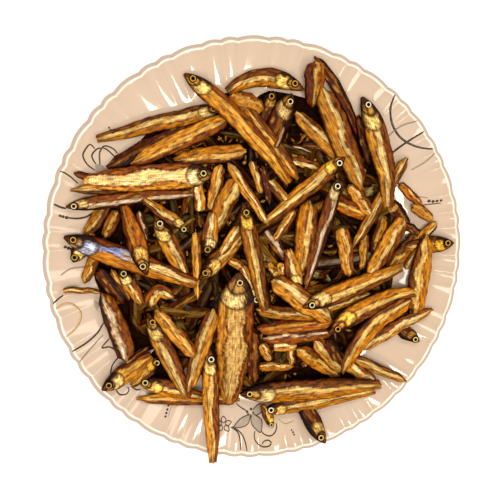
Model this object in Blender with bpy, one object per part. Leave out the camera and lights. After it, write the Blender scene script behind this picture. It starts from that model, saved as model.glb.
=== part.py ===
"""A scalloped plate heaped with small dried fish.

The origin is on the surface that the plate stands on, under its centre. +Z is up, and +Y is the top
of the photograph. Each fish that shows is laid where the photograph has it: its two ends are given
in the photograph's 500 x 500 pixels and brought to real size along the lines of sight.
"""
import math

import bmesh
import bpy
import numpy as np

MM = 0.001

# The plate: a flat well, a wall in flutes, a rolled lip and a foot ring
RIM_RADIUS = 135.0 * MM
RIM_HEIGHT = 21.0 * MM
WELL_HEIGHT = 4.2 * MM
FOOT_OUTER = 88.0 * MM
FOOT_INNER = 84.5 * MM
FOOT_RECESS = 1.2 * MM
FOOT_SLOPE = 1.0 * MM
FOOT_BLEND = 3.0 * MM
WALL = 3.0 * MM
LIP_ROUND = 0.9 * MM
LIP_TUCK = 0.5 * MM
LIP_DEPTH = 2.0 * MM
LIP_WIDTH = 2.0 * MM
LIP_RIDGE = 0.3
UPPER_PROFILE = ((98.0, 4.2), (106.0, 6.5), (118.0, 12.5), (126.0, 17.1), (129.8, 19.9), (131.6, 21.0))
UNDER_PROFILE = ((119.6, 9.5), (106.0, 3.5))

# The scalloped edge: a wide, a small and a middle lobe, twenty times round
LOBE_ANGLES = (8.4, 4.5, 5.1)
LOBE_STEPS = (3, 2, 2)
LOBE_GROUPS = 20
FIRST_NOTCH = 16.6
NOTCH_DEPTH = 1.2 * MM
FLUTE_RELIEF = 1.0 * MM
FLUTE_START = 106.0 * MM

# The photograph's point of view, which turns a pixel and a height into a place
VIEW_TILT = math.radians(10.8)
VIEW_TURN = math.radians(149.9)
VIEW_DISTANCE = 368.0 * MM
VIEW_FOCAL = 580.3
VIEW_CENTRE = (264.0, 253.5)

# The heap
CLEARANCE = 0.7 * MM
SINK = 1.5 * MM
CORE_GAP = 0.35 * MM
CORE_INSET = 2.0 * MM
CORE_RAISE = 3.0 * MM
SMOOTHING = 4
CORE_RADIUS = 95.0 * MM
CORE_EDGE = 3.0 * MM
CORE_REACH = 116.0 * MM
COVER = 1.5 * MM
WIDEST_GAP = 6
MOUND = 15.0 * MM
MOUND_ROUND = 0.8
CORE_RINGS = 7
CORE_SECTORS = 22
FILLERS = 30
FILLER_LENGTH = (48.0 * MM, 76.0 * MM)
FILLER_DEPTH = (7.0 * MM, 10.0 * MM)
FILLER_REACH = 72.0 * MM
FILLER_SEED = 7
START_HEIGHT = 25.0 * MM
LAYING_PASSES = 3
LIFTING_PASSES = 4
WEIGHT_PLACE = 0.42
STEEPEST = math.tan(math.radians(20.0))
BEND = 0.25
EASING = 4
GRID_STEP = 1.0 * MM
GRID_HALF = 150
STATIONS = 41

# The depth of a fish's body along its length, as shares of its deepest place
PROFILES = {
    "whole": ((0.0, 0.16), (0.06, 0.62), (0.13, 0.92), (0.2, 1.0), (0.42, 1.0), (0.65, 0.9),
              (0.85, 0.66), (0.95, 0.52), (1.0, 0.45)),
    "strip": ((0.0, 0.55), (0.08, 0.85), (0.3, 1.0), (0.6, 0.97), (0.85, 0.78), (1.0, 0.55)),
    "split": ((0.0, 0.2), (0.06, 0.6), (0.14, 0.9), (0.3, 1.0), (0.55, 1.0), (0.75, 0.85), (0.9, 0.6),
              (1.0, 0.42)),
}
# A body's depth against what shows of it, and its thickness against its depth
FULLNESS = 1.15
THICKNESS = {"whole": 0.43, "strip": 0.39, "split": 0.21}
THINNEST = 3.2 * MM
FLANK = 0.45
CROWN = 0.92
KEEL = 1.5 * MM
LANES = (-1.0, -0.5, 0.0, 0.5, 1.0)
SECTIONS = (0.0, 0.125, 0.45, 0.8, 1.0)

# The fish that show, from the bottom of the heap to its top: the kind, the pixel of the head end,
# the pixel of the tail end, the body's depth in pixels and how far it bows to the left of its way
FISH = (
    ("strip", 200, 124, 106, 168, 17, 0),
    ("whole", 222, 108, 96, 139, 15, 0),
    ("strip", 112, 198, 84, 237, 13, 0),
    ("strip", 118, 210, 104, 239, 12, 0),
    ("strip", 139, 210, 148, 243, 8, 0),
    ("strip", 143, 201, 175, 220, 6, 3),
    ("strip", 99, 248, 84, 284, 11, 0),
    ("whole", 73, 262, 92, 232, 15, 0),
    ("strip", 98, 268, 125, 305, 13, 0),
    ("strip", 111, 269, 132, 302, 7, 0),
    ("whole", 120, 268, 143, 304, 14, 0),
    ("strip", 240, 400, 136, 399, 11, 0),
    ("whole", 136, 380, 208, 398, 16, 0),
    ("whole", 102, 390, 152, 355, 18, 0),
    ("strip", 125, 364, 150, 346, 6, 0),
    ("whole", 161, 357, 131, 386, 13, 0),
    ("strip", 61, 291, 102, 293, 6, 2),
    ("strip", 127, 362, 101, 292, 19, -3),
    ("strip", 314, 56, 360, 140, 10, 5),
    ("strip", 316, 60, 313, 108, 19, 0),
    ("whole", 274, 91, 258, 132, 13, 0),
    ("whole", 292, 94, 264, 156, 21, 0),
    ("strip", 290, 160, 330, 172, 10, 0),
    ("strip", 300, 145, 340, 150, 8, 0),
    ("strip", 251, 160, 262, 195, 8, 0),
    ("strip", 262, 165, 270, 205, 8, 0),
    ("strip", 268, 180, 290, 205, 10, 0),
    ("strip", 358, 115, 370, 165, 10, 0),
    ("strip", 399, 183, 423, 207, 9, 0),
    ("whole", 385, 199, 408, 226, 15, 0),
    ("strip", 334, 202, 371, 217, 13, 0),
    ("strip", 348, 184, 372, 216, 13, 0),
    ("strip", 412, 205, 434, 220, 11, 0),
    ("strip", 404, 224, 424, 236, 8, 0),
    ("strip", 437, 221, 400, 262, 10, 0),
    ("strip", 420, 235, 385, 272, 14, 0),
    ("strip", 228, 259, 254, 273, 9, 0),
    ("strip", 264, 228, 289, 262, 11, 0),
    ("strip", 295, 209, 273, 243, 9, 0),
    ("strip", 283, 262, 279, 280, 10, 0),
    ("whole", 259, 304, 242, 266, 14, 0),
    ("whole", 277, 279, 268, 262, 8, 0),
    ("strip", 196, 228, 198, 302, 9, 0),
    ("strip", 322, 310, 372, 292, 8, 0),
    ("strip", 151, 308, 174, 298, 13, 12),
    ("whole", 420, 342, 388, 320, 13, 0),
    ("strip", 418, 322, 392, 312, 9, 0),
    ("strip", 352, 357, 407, 382, 10, 0),
    ("strip", 340, 360, 378, 384, 12, 0),
    ("whole", 325, 443, 295, 392, 17, 0),
    ("strip", 256, 329, 335, 322, 13, 0),
    ("strip", 262, 339, 335, 332, 13, 0),
    ("strip", 255, 309, 318, 317, 11, 0),
    ("strip", 257, 366, 294, 366, 9, 0),
    ("strip", 291, 344, 292, 366, 8, 0),
    ("strip", 272, 346, 298, 346, 10, 0),
    ("strip", 261, 343, 271, 361, 9, 0),
    ("strip", 297, 348, 340, 376, 12, 0),
    ("strip", 315, 340, 345, 372, 12, 0),
    ("strip", 325, 340, 345, 365, 10, 0),
    ("strip", 252, 330, 254, 384, 12, 0),
    ("strip", 365, 232, 361, 270, 9, 0),
    ("whole", 454, 243, 404, 247, 16, 0),
    ("strip", 110, 182, 73, 173, 8, 0),
    ("strip", 186, 184, 70, 190, 13, 0),
    ("whole", 66, 207, 196, 194, 13, 2),
    ("whole", 190, 233, 142, 198, 12, 0),
    ("whole", 155, 215, 189, 284, 17, 0),
    ("whole", 64, 237, 197, 284, 21, 0),
    ("strip", 228, 97, 264, 110, 20, 0),
    ("whole", 304, 90, 226, 92, 17, -13),
    ("strip", 245, 108, 300, 180, 14, 0),
    ("strip", 284, 126, 275, 149, 6, 0),
    ("strip", 286, 147, 314, 154, 6, 2),
    ("strip", 295, 112, 352, 171, 15, 0),
    ("whole", 338, 178, 305, 286, 14, 0),
    ("strip", 408, 157, 352, 248, 11, 0),
    ("strip", 247, 151, 172, 160, 16, 0),
    ("strip", 221, 164, 210, 212, 12, 0),
    ("strip", 238, 178, 209, 236, 19, 0),
    ("strip", 201, 213, 197, 180, 11, 0),
    ("whole", 207, 256, 213, 212, 15, 0),
    ("strip", 309, 200, 301, 274, 20, 0),
    ("whole", 298, 293, 287, 248, 15, 0),
    ("strip", 272, 279, 332, 321, 18, 0),
    ("strip", 341, 225, 349, 278, 14, 0),
    ("whole", 373, 262, 384, 217, 13, 0),
    ("strip", 405, 217, 367, 276, 16, 0),
    ("strip", 405, 270, 423, 242, 8, 0),
    ("strip", 360, 350, 434, 309, 13, 3),
    ("whole", 262, 411, 376, 391, 14, 0),
    ("whole", 273, 427, 262, 404, 9, 0),
    ("whole", 148, 313, 188, 398, 17, 0),
    ("strip", 214, 308, 188, 392, 15, 0),
    ("strip", 230, 118, 128, 165, 17, 0),
    ("split", 213, 174, 82, 182, 24, 0),
    ("whole", 147, 275, 124, 205, 18, 0),
    ("whole", 184, 74, 289, 184, 18, 8),
    ("strip", 322, 88, 362, 190, 23, 0),
    ("whole", 362, 97, 388, 208, 21, 7),
    ("whole", 345, 157, 264, 224, 15, 0),
    ("strip", 228, 162, 269, 226, 10, 0),
    ("whole", 199, 280, 246, 231, 17, 0),
    ("strip", 239, 226, 220, 256, 10, 0),
    ("whole", 243, 203, 265, 312, 16, 0),
    ("whole", 302, 307, 402, 267, 17, 0),
    ("strip", 415, 314, 427, 234, 19, 0),
    ("strip", 156, 309, 196, 358, 15, 0),
    ("split", 239, 273, 229, 404, 28, 0),
    ("whole", 210, 349, 213, 463, 15, 0),
    ("whole", 329, 334, 416, 292, 18, 8),
    ("strip", 412, 300, 342, 375, 17, -11),
    ("whole", 240, 394, 381, 384, 20, 0),
)


def clear_scene():
    """Start from an empty scene."""
    for thing in list(bpy.data.objects):
        bpy.data.objects.remove(thing, do_unlink=True)


def material(name, colour, roughness):
    """One Principled material with a plain colour."""
    made = bpy.data.materials.new(name)
    made.use_nodes = True
    shader = made.node_tree.nodes["Principled BSDF"]
    shader.inputs["Base Color"].default_value = (*colour, 1.0)
    shader.inputs["Roughness"].default_value = roughness
    return made


def mesh_object(name, points, faces, collection):
    """An object in the collection, from its points and faces."""
    mesh = bpy.data.meshes.new(name)
    mesh.from_pydata([tuple(map(float, p)) for p in points], [], faces)
    mesh.update()
    made = bpy.data.objects.new(name, mesh)
    collection.objects.link(made)
    return made


def scallop_steps():
    """The angle of each step round the edge, and how sharply it rises to a notch: 1 at a notch."""
    steps = []
    start = FIRST_NOTCH
    for _ in range(LOBE_GROUPS):
        for width, count in zip(LOBE_ANGLES, LOBE_STEPS):
            for k in range(count):
                share = k / count
                steps.append((math.radians(start + width * share), 1.0 - math.sin(math.pi * share)))
            start += width
    return steps


def flute_share(radius):
    """How much of the flutes' relief stands at this radius: none in the well, all at the rim."""
    share = (radius - FLUTE_START) / (RIM_RADIUS - FLUTE_START)
    return min(1.0, max(0.0, share))


def plate_rings():
    """The plate's turned profile as (radius, height), from its upper centre to its lower centre."""
    upper = [(r * MM, z * MM) for r, z in UPPER_PROFILE]
    lip = [(RIM_RADIUS, RIM_HEIGHT - LIP_ROUND), (RIM_RADIUS - LIP_TUCK, RIM_HEIGHT - LIP_DEPTH)]
    under = [(r * MM, z * MM) for r, z in UNDER_PROFILE]
    foot = [(FOOT_OUTER + FOOT_BLEND, WELL_HEIGHT - WALL), (FOOT_OUTER, 0.0), (FOOT_INNER, 0.0),
            (FOOT_INNER - FOOT_SLOPE, FOOT_RECESS)]
    return upper + lip + under + foot


def plate(collection):
    """The plate, as rings of points round its profile with the flutes pressed into the wall."""
    steps = scallop_steps()
    points = [(0.0, 0.0, WELL_HEIGHT)]
    for radius, height in plate_rings():
        share = flute_share(radius)
        rise = FLUTE_RELIEF * share * (1.0 if radius < RIM_RADIUS - LIP_WIDTH else LIP_RIDGE)
        for angle, ridge in steps:
            r = radius - NOTCH_DEPTH * ridge * share
            z = height + rise * ridge
            points.append((r * math.cos(angle), r * math.sin(angle), z))
    points.append((0.0, 0.0, FOOT_RECESS))
    count = len(steps)
    rings = len(plate_rings())
    faces = []
    for k in range(count):
        after = (k + 1) % count
        faces.append((0, 1 + k, 1 + after))
        for ring in range(rings - 1):
            here = 1 + ring * count
            faces.append((here + k, here + count + k, here + count + after, here + after))
        last = 1 + (rings - 1) * count
        faces.append((len(points) - 1, last + after, last + k))
    return mesh_object("plate", points, faces, collection)


def plate_top(radius):
    """The highest that the plate's upper side reaches at this radius, ridges included."""
    radii = [0.0] + [r * MM for r, _ in UPPER_PROFILE] + [RIM_RADIUS]
    heights = [WELL_HEIGHT] + [z * MM for _, z in UPPER_PROFILE] + [RIM_HEIGHT]
    shares = np.clip((radius - FLUTE_START) / (RIM_RADIUS - FLUTE_START), 0.0, 1.0)
    level = np.interp(radius + NOTCH_DEPTH * shares, radii, heights)
    return level + FLUTE_RELIEF * shares


def sight_axes():
    """The directions back to the eye, across the photograph and up it."""
    back = np.array((math.sin(VIEW_TILT) * math.cos(VIEW_TURN), math.sin(VIEW_TILT) * math.sin(VIEW_TURN),
                     math.cos(VIEW_TILT)))
    across = np.cross((0.0, 1.0, 0.0), back)
    across /= np.linalg.norm(across)
    return back, across, np.cross(back, across)


BACK, ACROSS, UP = sight_axes()


def place(u, v, height):
    """The point at this height that the photograph shows at pixel (u, v)."""
    eye = VIEW_DISTANCE * BACK + np.array((0.0, 0.0, RIM_HEIGHT))
    ray = (u - VIEW_CENTRE[0]) / VIEW_FOCAL * ACROSS - (v - VIEW_CENTRE[1]) / VIEW_FOCAL * UP - BACK
    return eye + ray * (height - eye[2]) / ray[2]


class Heap:
    """The height of all that is laid so far, on a grid of small squares over the plate."""

    def __init__(self):
        line = np.arange(-GRID_HALF, GRID_HALF + 1) * GRID_STEP
        self.x, self.y = np.meshgrid(line, line)
        radius = np.hypot(self.x, self.y)
        self.height = plate_top(radius) + CLEARANCE + SINK
        self.height[radius > RIM_RADIUS + 1.0 * MM] = 0.0
        self.bare = self.height.copy()
        dome = np.clip(1.0 - (radius / CORE_RADIUS) ** 2, 0.0, 1.0) ** MOUND_ROUND
        self.height += MOUND * dome

    def supports(self, heights, line, side, half, thick):
        """How high these heights hold the keel at each station of a body's centre line."""
        held = []
        for lane in LANES:
            points = line + side * (half * lane)[:, None]
            cells = np.clip(np.rint(points / GRID_STEP).astype(int) + GRID_HALF, 0, 2 * GRID_HALF)
            held.append(heights[cells[:, 1], cells[:, 0]] - abs(lane) * FLANK * thick)
        return np.max(held, axis=0)

    def covered_reach(self, angle):
        """How far from the centre the heap covers the plate without a break, at this angle."""
        radii = np.arange(CORE_RADIUS - 8.0 * MM, RIM_RADIUS, GRID_STEP)
        spots = radii[:, None] * np.array((math.cos(angle), math.sin(angle)))
        cells = np.rint(spots / GRID_STEP).astype(int) + GRID_HALF
        under = self.height[cells[:, 1], cells[:, 0]] > self.bare[cells[:, 1], cells[:, 0]] + COVER
        gap = np.convolve(~under, np.ones(WIDEST_GAP), mode="valid") == WIDEST_GAP
        return radii[int(np.argmax(gap))] if gap.any() else radii[-1]

    def raise_to(self, line, base, half, thick):
        """Add a body's crowned top to the heights."""
        low = (line.min(axis=0) - half.max()) / GRID_STEP + GRID_HALF
        high = (line.max(axis=0) + half.max()) / GRID_STEP + GRID_HALF
        x0, y0 = np.clip(np.floor(low).astype(int), 0, 2 * GRID_HALF)
        x1, y1 = np.clip(np.ceil(high).astype(int) + 1, 1, 2 * GRID_HALF + 1)
        window = self.height[y0:y1, x0:x1]
        spots = np.stack((self.x[y0:y1, x0:x1], self.y[y0:y1, x0:x1]), axis=-1)
        apart = np.linalg.norm(spots[:, :, None, :] - line[None, None, :, :], axis=-1)
        nearest = apart.argmin(axis=-1)
        off = apart.min(axis=-1) / half[nearest]
        crown = np.interp(off, (0.5, 1.0), (CROWN, FLANK))
        top = base[nearest] + crown * thick[nearest]
        np.copyto(window, np.maximum(window, top), where=off < 1.0)


def profile(kind, along):
    """The body's depth at each share of its length, straight between its few sections."""
    stops, shares = zip(*PROFILES[kind])
    return np.interp(along, SECTIONS, np.interp(SECTIONS, stops, shares))


def resting_line(along, supports, length):
    """The straight line that a stiff body settles to on its supports, by its weight's place."""
    best = None
    left = np.flatnonzero(along <= WEIGHT_PLACE)
    right = np.flatnonzero(along > WEIGHT_PLACE)
    for i in left:
        rise = (supports[right] - supports[i]) / (along[right] - along[i])
        value = supports[i] + rise.max() * (WEIGHT_PLACE - along[i])
        if best is None or value > best[0]:
            best = (value, rise.max())
    steep = STEEPEST * length
    slope = min(steep, max(-steep, best[1]))
    level = np.max(supports - slope * (along - WEIGHT_PLACE))
    return level + slope * (along - WEIGHT_PLACE)


def centre_line(head, tail, bow, along):
    """The body's centre line seen from above, the same line's left-hand normals, and its length."""
    way = tail - head
    length = np.linalg.norm(way)
    normal = np.array((-way[1], way[0])) / length
    line = head + way * along[:, None] + normal * (bow * 4.0 * along * (1.0 - along))[:, None]
    tangent = np.gradient(line, along, axis=0)
    tangent /= np.linalg.norm(tangent, axis=1)[:, None]
    return line, np.stack((-tangent[:, 1], tangent[:, 0]), axis=1), length


def settle(heap, kind, head, tail, half_depth, bow):
    """Lay one body on the heap, and give its line, sides, base, half depths and thicknesses."""
    along = np.linspace(0.0, 1.0, STATIONS)
    line, side, length = centre_line(head, tail, bow, along)
    half = half_depth * profile(kind, along)
    thickness = max(THINNEST, THICKNESS[kind] * 2.0 * half_depth)
    thick = thickness * np.sqrt(profile(kind, along))
    supports = heap.supports(heap.height, line, side, half, thick)
    plate_supports = heap.supports(heap.bare, line, side, half, thick)
    straight = resting_line(along, supports, length)
    window = np.ones(2 * EASING + 1) / (2 * EASING + 1)
    eased = np.convolve(np.pad(supports, EASING, mode="edge"), window, mode="valid")
    bent = straight + BEND * (np.minimum(eased, straight) - straight)
    base = np.interp(along, SECTIONS, np.interp(SECTIONS, along, np.maximum(bent, supports)))
    for _ in range(LIFTING_PASSES):
        short = plate_supports - base
        worst = int(np.argmax(short))
        turn = along / along[worst] if along[worst] > 0.5 else (1.0 - along) / (1.0 - along[worst])
        base = base + max(0.0, short[worst]) * turn
    base = base + max(0.0, np.max(plate_supports - base))
    return line, side, base - SINK, half, thick


def lay_fillers(heap):
    """Lay the hidden fish under the ones that show, in a seeded random order."""
    draw = np.random.default_rng(FILLER_SEED)
    for _ in range(FILLERS):
        reach = FILLER_REACH * math.sqrt(draw.random())
        spot_angle = draw.uniform(0.0, 2.0 * math.pi)
        turn = draw.uniform(0.0, 2.0 * math.pi)
        half_length = 0.5 * draw.uniform(*FILLER_LENGTH)
        half_depth = 0.5 * draw.uniform(*FILLER_DEPTH)
        middle = reach * np.array((math.cos(spot_angle), math.sin(spot_angle)))
        way = half_length * np.array((math.cos(turn), math.sin(turn)))
        line, _, base, half, thick = settle(heap, "whole", middle - way, middle + way, half_depth, 0.0)
        heap.raise_to(line, base, half, thick)


def lay_fish(heap, row):
    """Lay one fish of the list, moving its ends along their lines of sight to the heap's height."""
    kind, head_u, head_v, tail_u, tail_v, depth, bow = row
    head_height = tail_height = START_HEIGHT
    for _ in range(LAYING_PASSES):
        head = place(head_u, head_v, head_height)
        tail = place(tail_u, tail_v, tail_height)
        pixel = np.linalg.norm(tail - head) / math.hypot(tail_u - head_u, tail_v - head_v)
        half_depth = 0.5 * FULLNESS * depth * pixel
        laid = settle(heap, kind, head[:2], tail[:2], half_depth, bow * pixel)
        head_height = laid[2][0] + 0.5 * laid[4][0]
        tail_height = laid[2][-1] + 0.5 * laid[4][-1]
    heap.raise_to(laid[0], laid[2], laid[3], laid[4])
    return laid


def fish_body(name, laid, collection):
    """A fish as a few five-sided rings along its laid line."""
    line, side, base, half, thick = laid
    picks = [round(stop * (STATIONS - 1)) for stop in SECTIONS]
    section = ((-1.0, FLANK), (-0.5, CROWN), (0.5, CROWN), (1.0, FLANK))
    points = []
    for k in picks:
        for across, up in section:
            spot = line[k] + side[k] * half[k] * across
            points.append((spot[0], spot[1], base[k] + up * thick[k]))
        lowest = plate_top(math.hypot(*line[k])) + CLEARANCE
        points.append((line[k][0], line[k][1], min(base[k], max(base[k] - KEEL, lowest))))
    count = len(section) + 1
    faces = [tuple(range(count))]
    for ring in range(len(picks) - 1):
        here = ring * count
        for k in range(count):
            after = (k + 1) % count
            faces.append((here + k, here + count + k, here + count + after, here + after))
    faces.append(tuple(reversed(range(len(points) - count, len(points)))))
    return mesh_object(name, points, faces, collection)


def smoothed(height, reach):
    """The heights averaged over a square of this half width, in cells, twice."""
    window = np.ones(2 * reach + 1) / (2 * reach + 1)
    for _ in range(2):
        height = np.apply_along_axis(np.convolve, 0, height, window, mode="same")
        height = np.apply_along_axis(np.convolve, 1, height, window, mode="same")
    return height


def core(heap, level, collection):
    """The hidden middle of the heap: a low dome over the buried fish, out to the heap's uneven edge."""
    angles = [2.0 * math.pi * k / CORE_SECTORS for k in range(CORE_SECTORS)]
    rims = [min(CORE_REACH, max(CORE_RADIUS, heap.covered_reach(angle))) - CORE_INSET for angle in angles]
    points = [(0.0, 0.0, float(level[GRID_HALF, GRID_HALF]))]
    for ring in range(1, CORE_RINGS + 1):
        for angle, rim in zip(angles, rims):
            radius = rim * ring / CORE_RINGS
            x, y = radius * math.cos(angle), radius * math.sin(angle)
            if ring < CORE_RINGS:
                height = level[round(y / GRID_STEP) + GRID_HALF, round(x / GRID_STEP) + GRID_HALF]
            else:
                height = plate_top(rim) + CORE_GAP + CORE_EDGE
            points.append((x, y, float(height)))
    for angle, rim in zip(angles, rims):
        points.append((rim * math.cos(angle), rim * math.sin(angle), float(plate_top(rim) + CORE_GAP)))
    for angle in angles:
        foot = CORE_RADIUS - CORE_INSET
        points.append((foot * math.cos(angle), foot * math.sin(angle), WELL_HEIGHT + CORE_GAP))
    faces = []
    for k in range(CORE_SECTORS):
        after = (k + 1) % CORE_SECTORS
        faces.append((0, 1 + k, 1 + after))
        for ring in range(CORE_RINGS + 1):
            here = 1 + ring * CORE_SECTORS
            faces.append((here + k, here + CORE_SECTORS + k, here + CORE_SECTORS + after, here + after))
    faces.append(tuple(reversed(range(len(points) - CORE_SECTORS, len(points)))))
    return mesh_object("fish_heap", points, faces, collection)


def union(body, pieces):
    """Fuse a collection's pieces to the body, and remove the pieces."""
    fuse = body.modifiers.new("fuse", "BOOLEAN")
    fuse.operation = "UNION"
    fuse.operand_type = "COLLECTION"
    fuse.collection = pieces
    fuse.solver = "EXACT"
    evaluated = body.evaluated_get(bpy.context.evaluated_depsgraph_get())
    fused = bpy.data.meshes.new_from_object(evaluated)
    body.modifiers.clear()
    body.data = fused
    for piece in list(pieces.objects):
        bpy.data.objects.remove(piece, do_unlink=True)
    bpy.data.collections.remove(pieces)


def shell_volume(faces):
    """The volume that a shell's faces close off, below nought where they face inward."""
    total = 0.0
    for face in faces:
        corners = [loop.vert.co for loop in face.loops]
        for k in range(1, len(corners) - 1):
            total += corners[0].dot(corners[k].cross(corners[k + 1])) / 6.0
    return total


def keep_outer_shell(body):
    """Keep the heap's outer skin alone: sealed hollows are filled and loose scraps dropped."""
    mesh = bmesh.new()
    mesh.from_mesh(body.data)
    bmesh.ops.triangulate(mesh, faces=mesh.faces[:])
    unseen = set(mesh.faces)
    shells = []
    while unseen:
        front = [unseen.pop()]
        shell = list(front)
        while front:
            face = front.pop()
            for edge in face.edges:
                for other in edge.link_faces:
                    if other in unseen:
                        unseen.remove(other)
                        front.append(other)
                        shell.append(other)
        shells.append(shell)
    largest = max(shells, key=shell_volume)
    dropped = [face for shell in shells if shell is not largest for face in shell]
    bmesh.ops.delete(mesh, geom=dropped, context="FACES")
    bmesh.ops.delete(mesh, geom=[v for v in mesh.verts if not v.link_faces], context="VERTS")
    mesh.to_mesh(body.data)
    mesh.free()


def fish_heap(collection):
    """The heap: its core with every fish that shows fused on."""
    heap = Heap()
    lay_fillers(heap)
    level = smoothed(heap.height, SMOOTHING) + CORE_RAISE
    pieces = bpy.data.collections.new("loose fish")
    bpy.context.scene.collection.children.link(pieces)
    for number, row in enumerate(FISH):
        fish_body(f"fish_{number:03d}", lay_fish(heap, row), pieces)
    body = core(heap, level, collection)
    union(body, pieces)
    keep_outer_shell(body)
    return body


def main():
    clear_scene()
    collection = bpy.context.scene.collection
    dish = plate(collection)
    dish.data.materials.append(material("glazed cream", (0.76, 0.60, 0.48), 0.15))
    dish.data.shade_smooth()
    dish.data.set_sharp_from_angle(angle=math.radians(35.0))
    heap = fish_heap(collection)
    heap.data.materials.clear()
    heap.data.materials.append(material("dried fish", (0.33, 0.18, 0.06), 0.45))


main()
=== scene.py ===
"""A scalloped plate heaped with small dried chela, a slim silver river fish sold whole and split.

The plate and every fish are surfaces worked out with numpy. The fish lie where the photograph has
them: the two ends of each are given in the photograph's 500 x 500 pixels, and the heap is laid again
here in the same order and by the same rule as its solid.
"""

import math

import bpy
import numpy as np
from mathutils import Matrix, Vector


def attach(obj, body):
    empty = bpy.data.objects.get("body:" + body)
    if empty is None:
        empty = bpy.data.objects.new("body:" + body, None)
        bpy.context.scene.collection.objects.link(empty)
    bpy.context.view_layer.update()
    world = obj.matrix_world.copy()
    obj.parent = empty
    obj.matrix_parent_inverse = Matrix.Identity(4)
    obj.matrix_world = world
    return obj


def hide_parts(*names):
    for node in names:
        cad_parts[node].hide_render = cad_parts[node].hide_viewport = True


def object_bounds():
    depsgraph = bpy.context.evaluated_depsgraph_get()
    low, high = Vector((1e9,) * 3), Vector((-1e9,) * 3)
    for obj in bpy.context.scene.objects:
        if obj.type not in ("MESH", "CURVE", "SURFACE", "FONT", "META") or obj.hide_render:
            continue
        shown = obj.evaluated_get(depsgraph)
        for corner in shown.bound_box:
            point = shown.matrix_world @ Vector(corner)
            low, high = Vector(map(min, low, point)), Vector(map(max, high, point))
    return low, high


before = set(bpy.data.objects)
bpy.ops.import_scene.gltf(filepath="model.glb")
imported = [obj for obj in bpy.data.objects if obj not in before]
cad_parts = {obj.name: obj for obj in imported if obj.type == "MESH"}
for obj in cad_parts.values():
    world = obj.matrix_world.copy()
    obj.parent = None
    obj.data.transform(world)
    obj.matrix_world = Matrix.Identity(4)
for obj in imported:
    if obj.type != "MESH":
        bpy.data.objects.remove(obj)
cad_low, cad_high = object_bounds()

MM = 0.001

# The plate, as its solid has it
RIM_RADIUS = 135.0 * MM
RIM_HEIGHT = 21.0 * MM
WELL_HEIGHT = 4.2 * MM
UPPER_PROFILE = ((98.0, 4.2), (106.0, 6.5), (118.0, 12.5), (126.0, 17.1), (129.8, 19.9), (131.6, 21.0))
LOBE_ANGLES = (8.4, 4.5, 5.1)
LOBE_GROUPS = 20
FIRST_NOTCH = 16.6
NOTCH_DEPTH = 1.2 * MM
FLUTE_RELIEF = 1.0 * MM
FLUTE_START = 106.0 * MM
# The plate's turned section, as radius and height in millimetres: its well and wall, its rolled lip,
# its underside, and its foot ring with the floor inside it. Each run has its own number of steps
WELL_AND_WALL = ((30.0, 4.2), (70.0, 4.2), (92.0, 4.2), (98.0, 4.35), (102.0, 5.0), (106.0, 6.5),
                 (112.0, 9.4), (118.0, 12.5), (124.0, 15.9), (128.0, 18.4), (130.2, 19.9))
LIP = ((130.2, 19.9), (130.9, 20.4), (131.6, 20.6), (132.3, 20.4), (133.5, 19.9), (134.4, 19.5),
       (134.7, 19.1), (134.4, 18.6), (133.4, 18.1))
UNDERSIDE = ((133.4, 18.1), (128.0, 15.1), (119.6, 9.5), (106.0, 3.6), (96.0, 1.6), (90.0, 1.2))
FOOT_RING = ((90.0, 1.2), (88.2, 0.5), (87.4, 0.1), (85.0, 0.1), (84.2, 0.5), (83.0, 1.2), (40.0, 1.25))
SECTION_STEPS = (5, 3, 3, 2)
STEPS_A_GROUP = 48
# The flutes begin to show this far inside FLUTE_START, and flatten to a share of their relief past the crest
FLUTE_LEAD = 3.0 * MM
LIP_RELIEF = 0.35
LIP_START, LIP_END = 131.0 * MM, 134.0 * MM
# The radius of the lip's crest, where a painted highlight runs with this half width in millimetres, and
# painted shade lies beyond it
CREST_RADIUS = 131.6 * MM
CREST_HALF = 0.55
PRINT_LIFT = 0.09 * MM
SIGHT_PASSES = 12
INKS = {"ink": ("dark_brown_print", "#33281C"), "grey": ("grey_print", "#9A8E7A"),
        "gold": ("pale_gold_print", "#C8A470"), "leaf": ("washed_grey_print", "#A39484")}

# The photograph's point of view
VIEW_TILT = math.radians(10.8)
VIEW_TURN = math.radians(149.9)
VIEW_DISTANCE = 368.0 * MM
VIEW_FOCAL = 580.3
VIEW_CENTRE = (264.0, 253.5)
PHOTO_SIDE = 500.0

# The laying of the heap, as its solid has it
CLEARANCE = 0.7 * MM
SINK = 1.5 * MM
CORE_RADIUS = 95.0 * MM
CORE_REACH = 116.0 * MM
COVER = 1.5 * MM
WIDEST_GAP = 6
# Where the dark bottom of the heap spreads past its middle, near-black partly as painted shade: the angle,
# the half width and the reach
SPREADS = ((211.0, 13.0, 106.0 * MM), (77.0, 19.0, 104.0 * MM), (25.0, 8.0, 97.0 * MM))
MOUND = 15.0 * MM
MOUND_ROUND = 0.8
FILLERS = 30
FILLER_LENGTH = (48.0 * MM, 76.0 * MM)
FILLER_DEPTH = (7.0 * MM, 10.0 * MM)
FILLER_REACH = 72.0 * MM
FILLER_SEED = 7
START_HEIGHT = 25.0 * MM
LAYING_PASSES = 3
LIFTING_PASSES = 4
WEIGHT_PLACE = 0.42
STEEPEST = math.tan(math.radians(20.0))
BEND = 0.25
EASING = 4
GRID_STEP = 1.0 * MM
GRID_HALF = 150
STATIONS = 41
SMOOTHING = 4
PROFILES = {
    "whole": ((0.0, 0.16), (0.06, 0.62), (0.13, 0.92), (0.2, 1.0), (0.42, 1.0), (0.65, 0.9),
              (0.85, 0.66), (0.95, 0.52), (1.0, 0.45)),
    "strip": ((0.0, 0.55), (0.08, 0.85), (0.3, 1.0), (0.6, 0.97), (0.85, 0.78), (1.0, 0.55)),
    "split": ((0.0, 0.2), (0.06, 0.6), (0.14, 0.9), (0.3, 1.0), (0.55, 1.0), (0.75, 0.85), (0.9, 0.6),
              (1.0, 0.42)),
}
FULLNESS = 1.15
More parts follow.
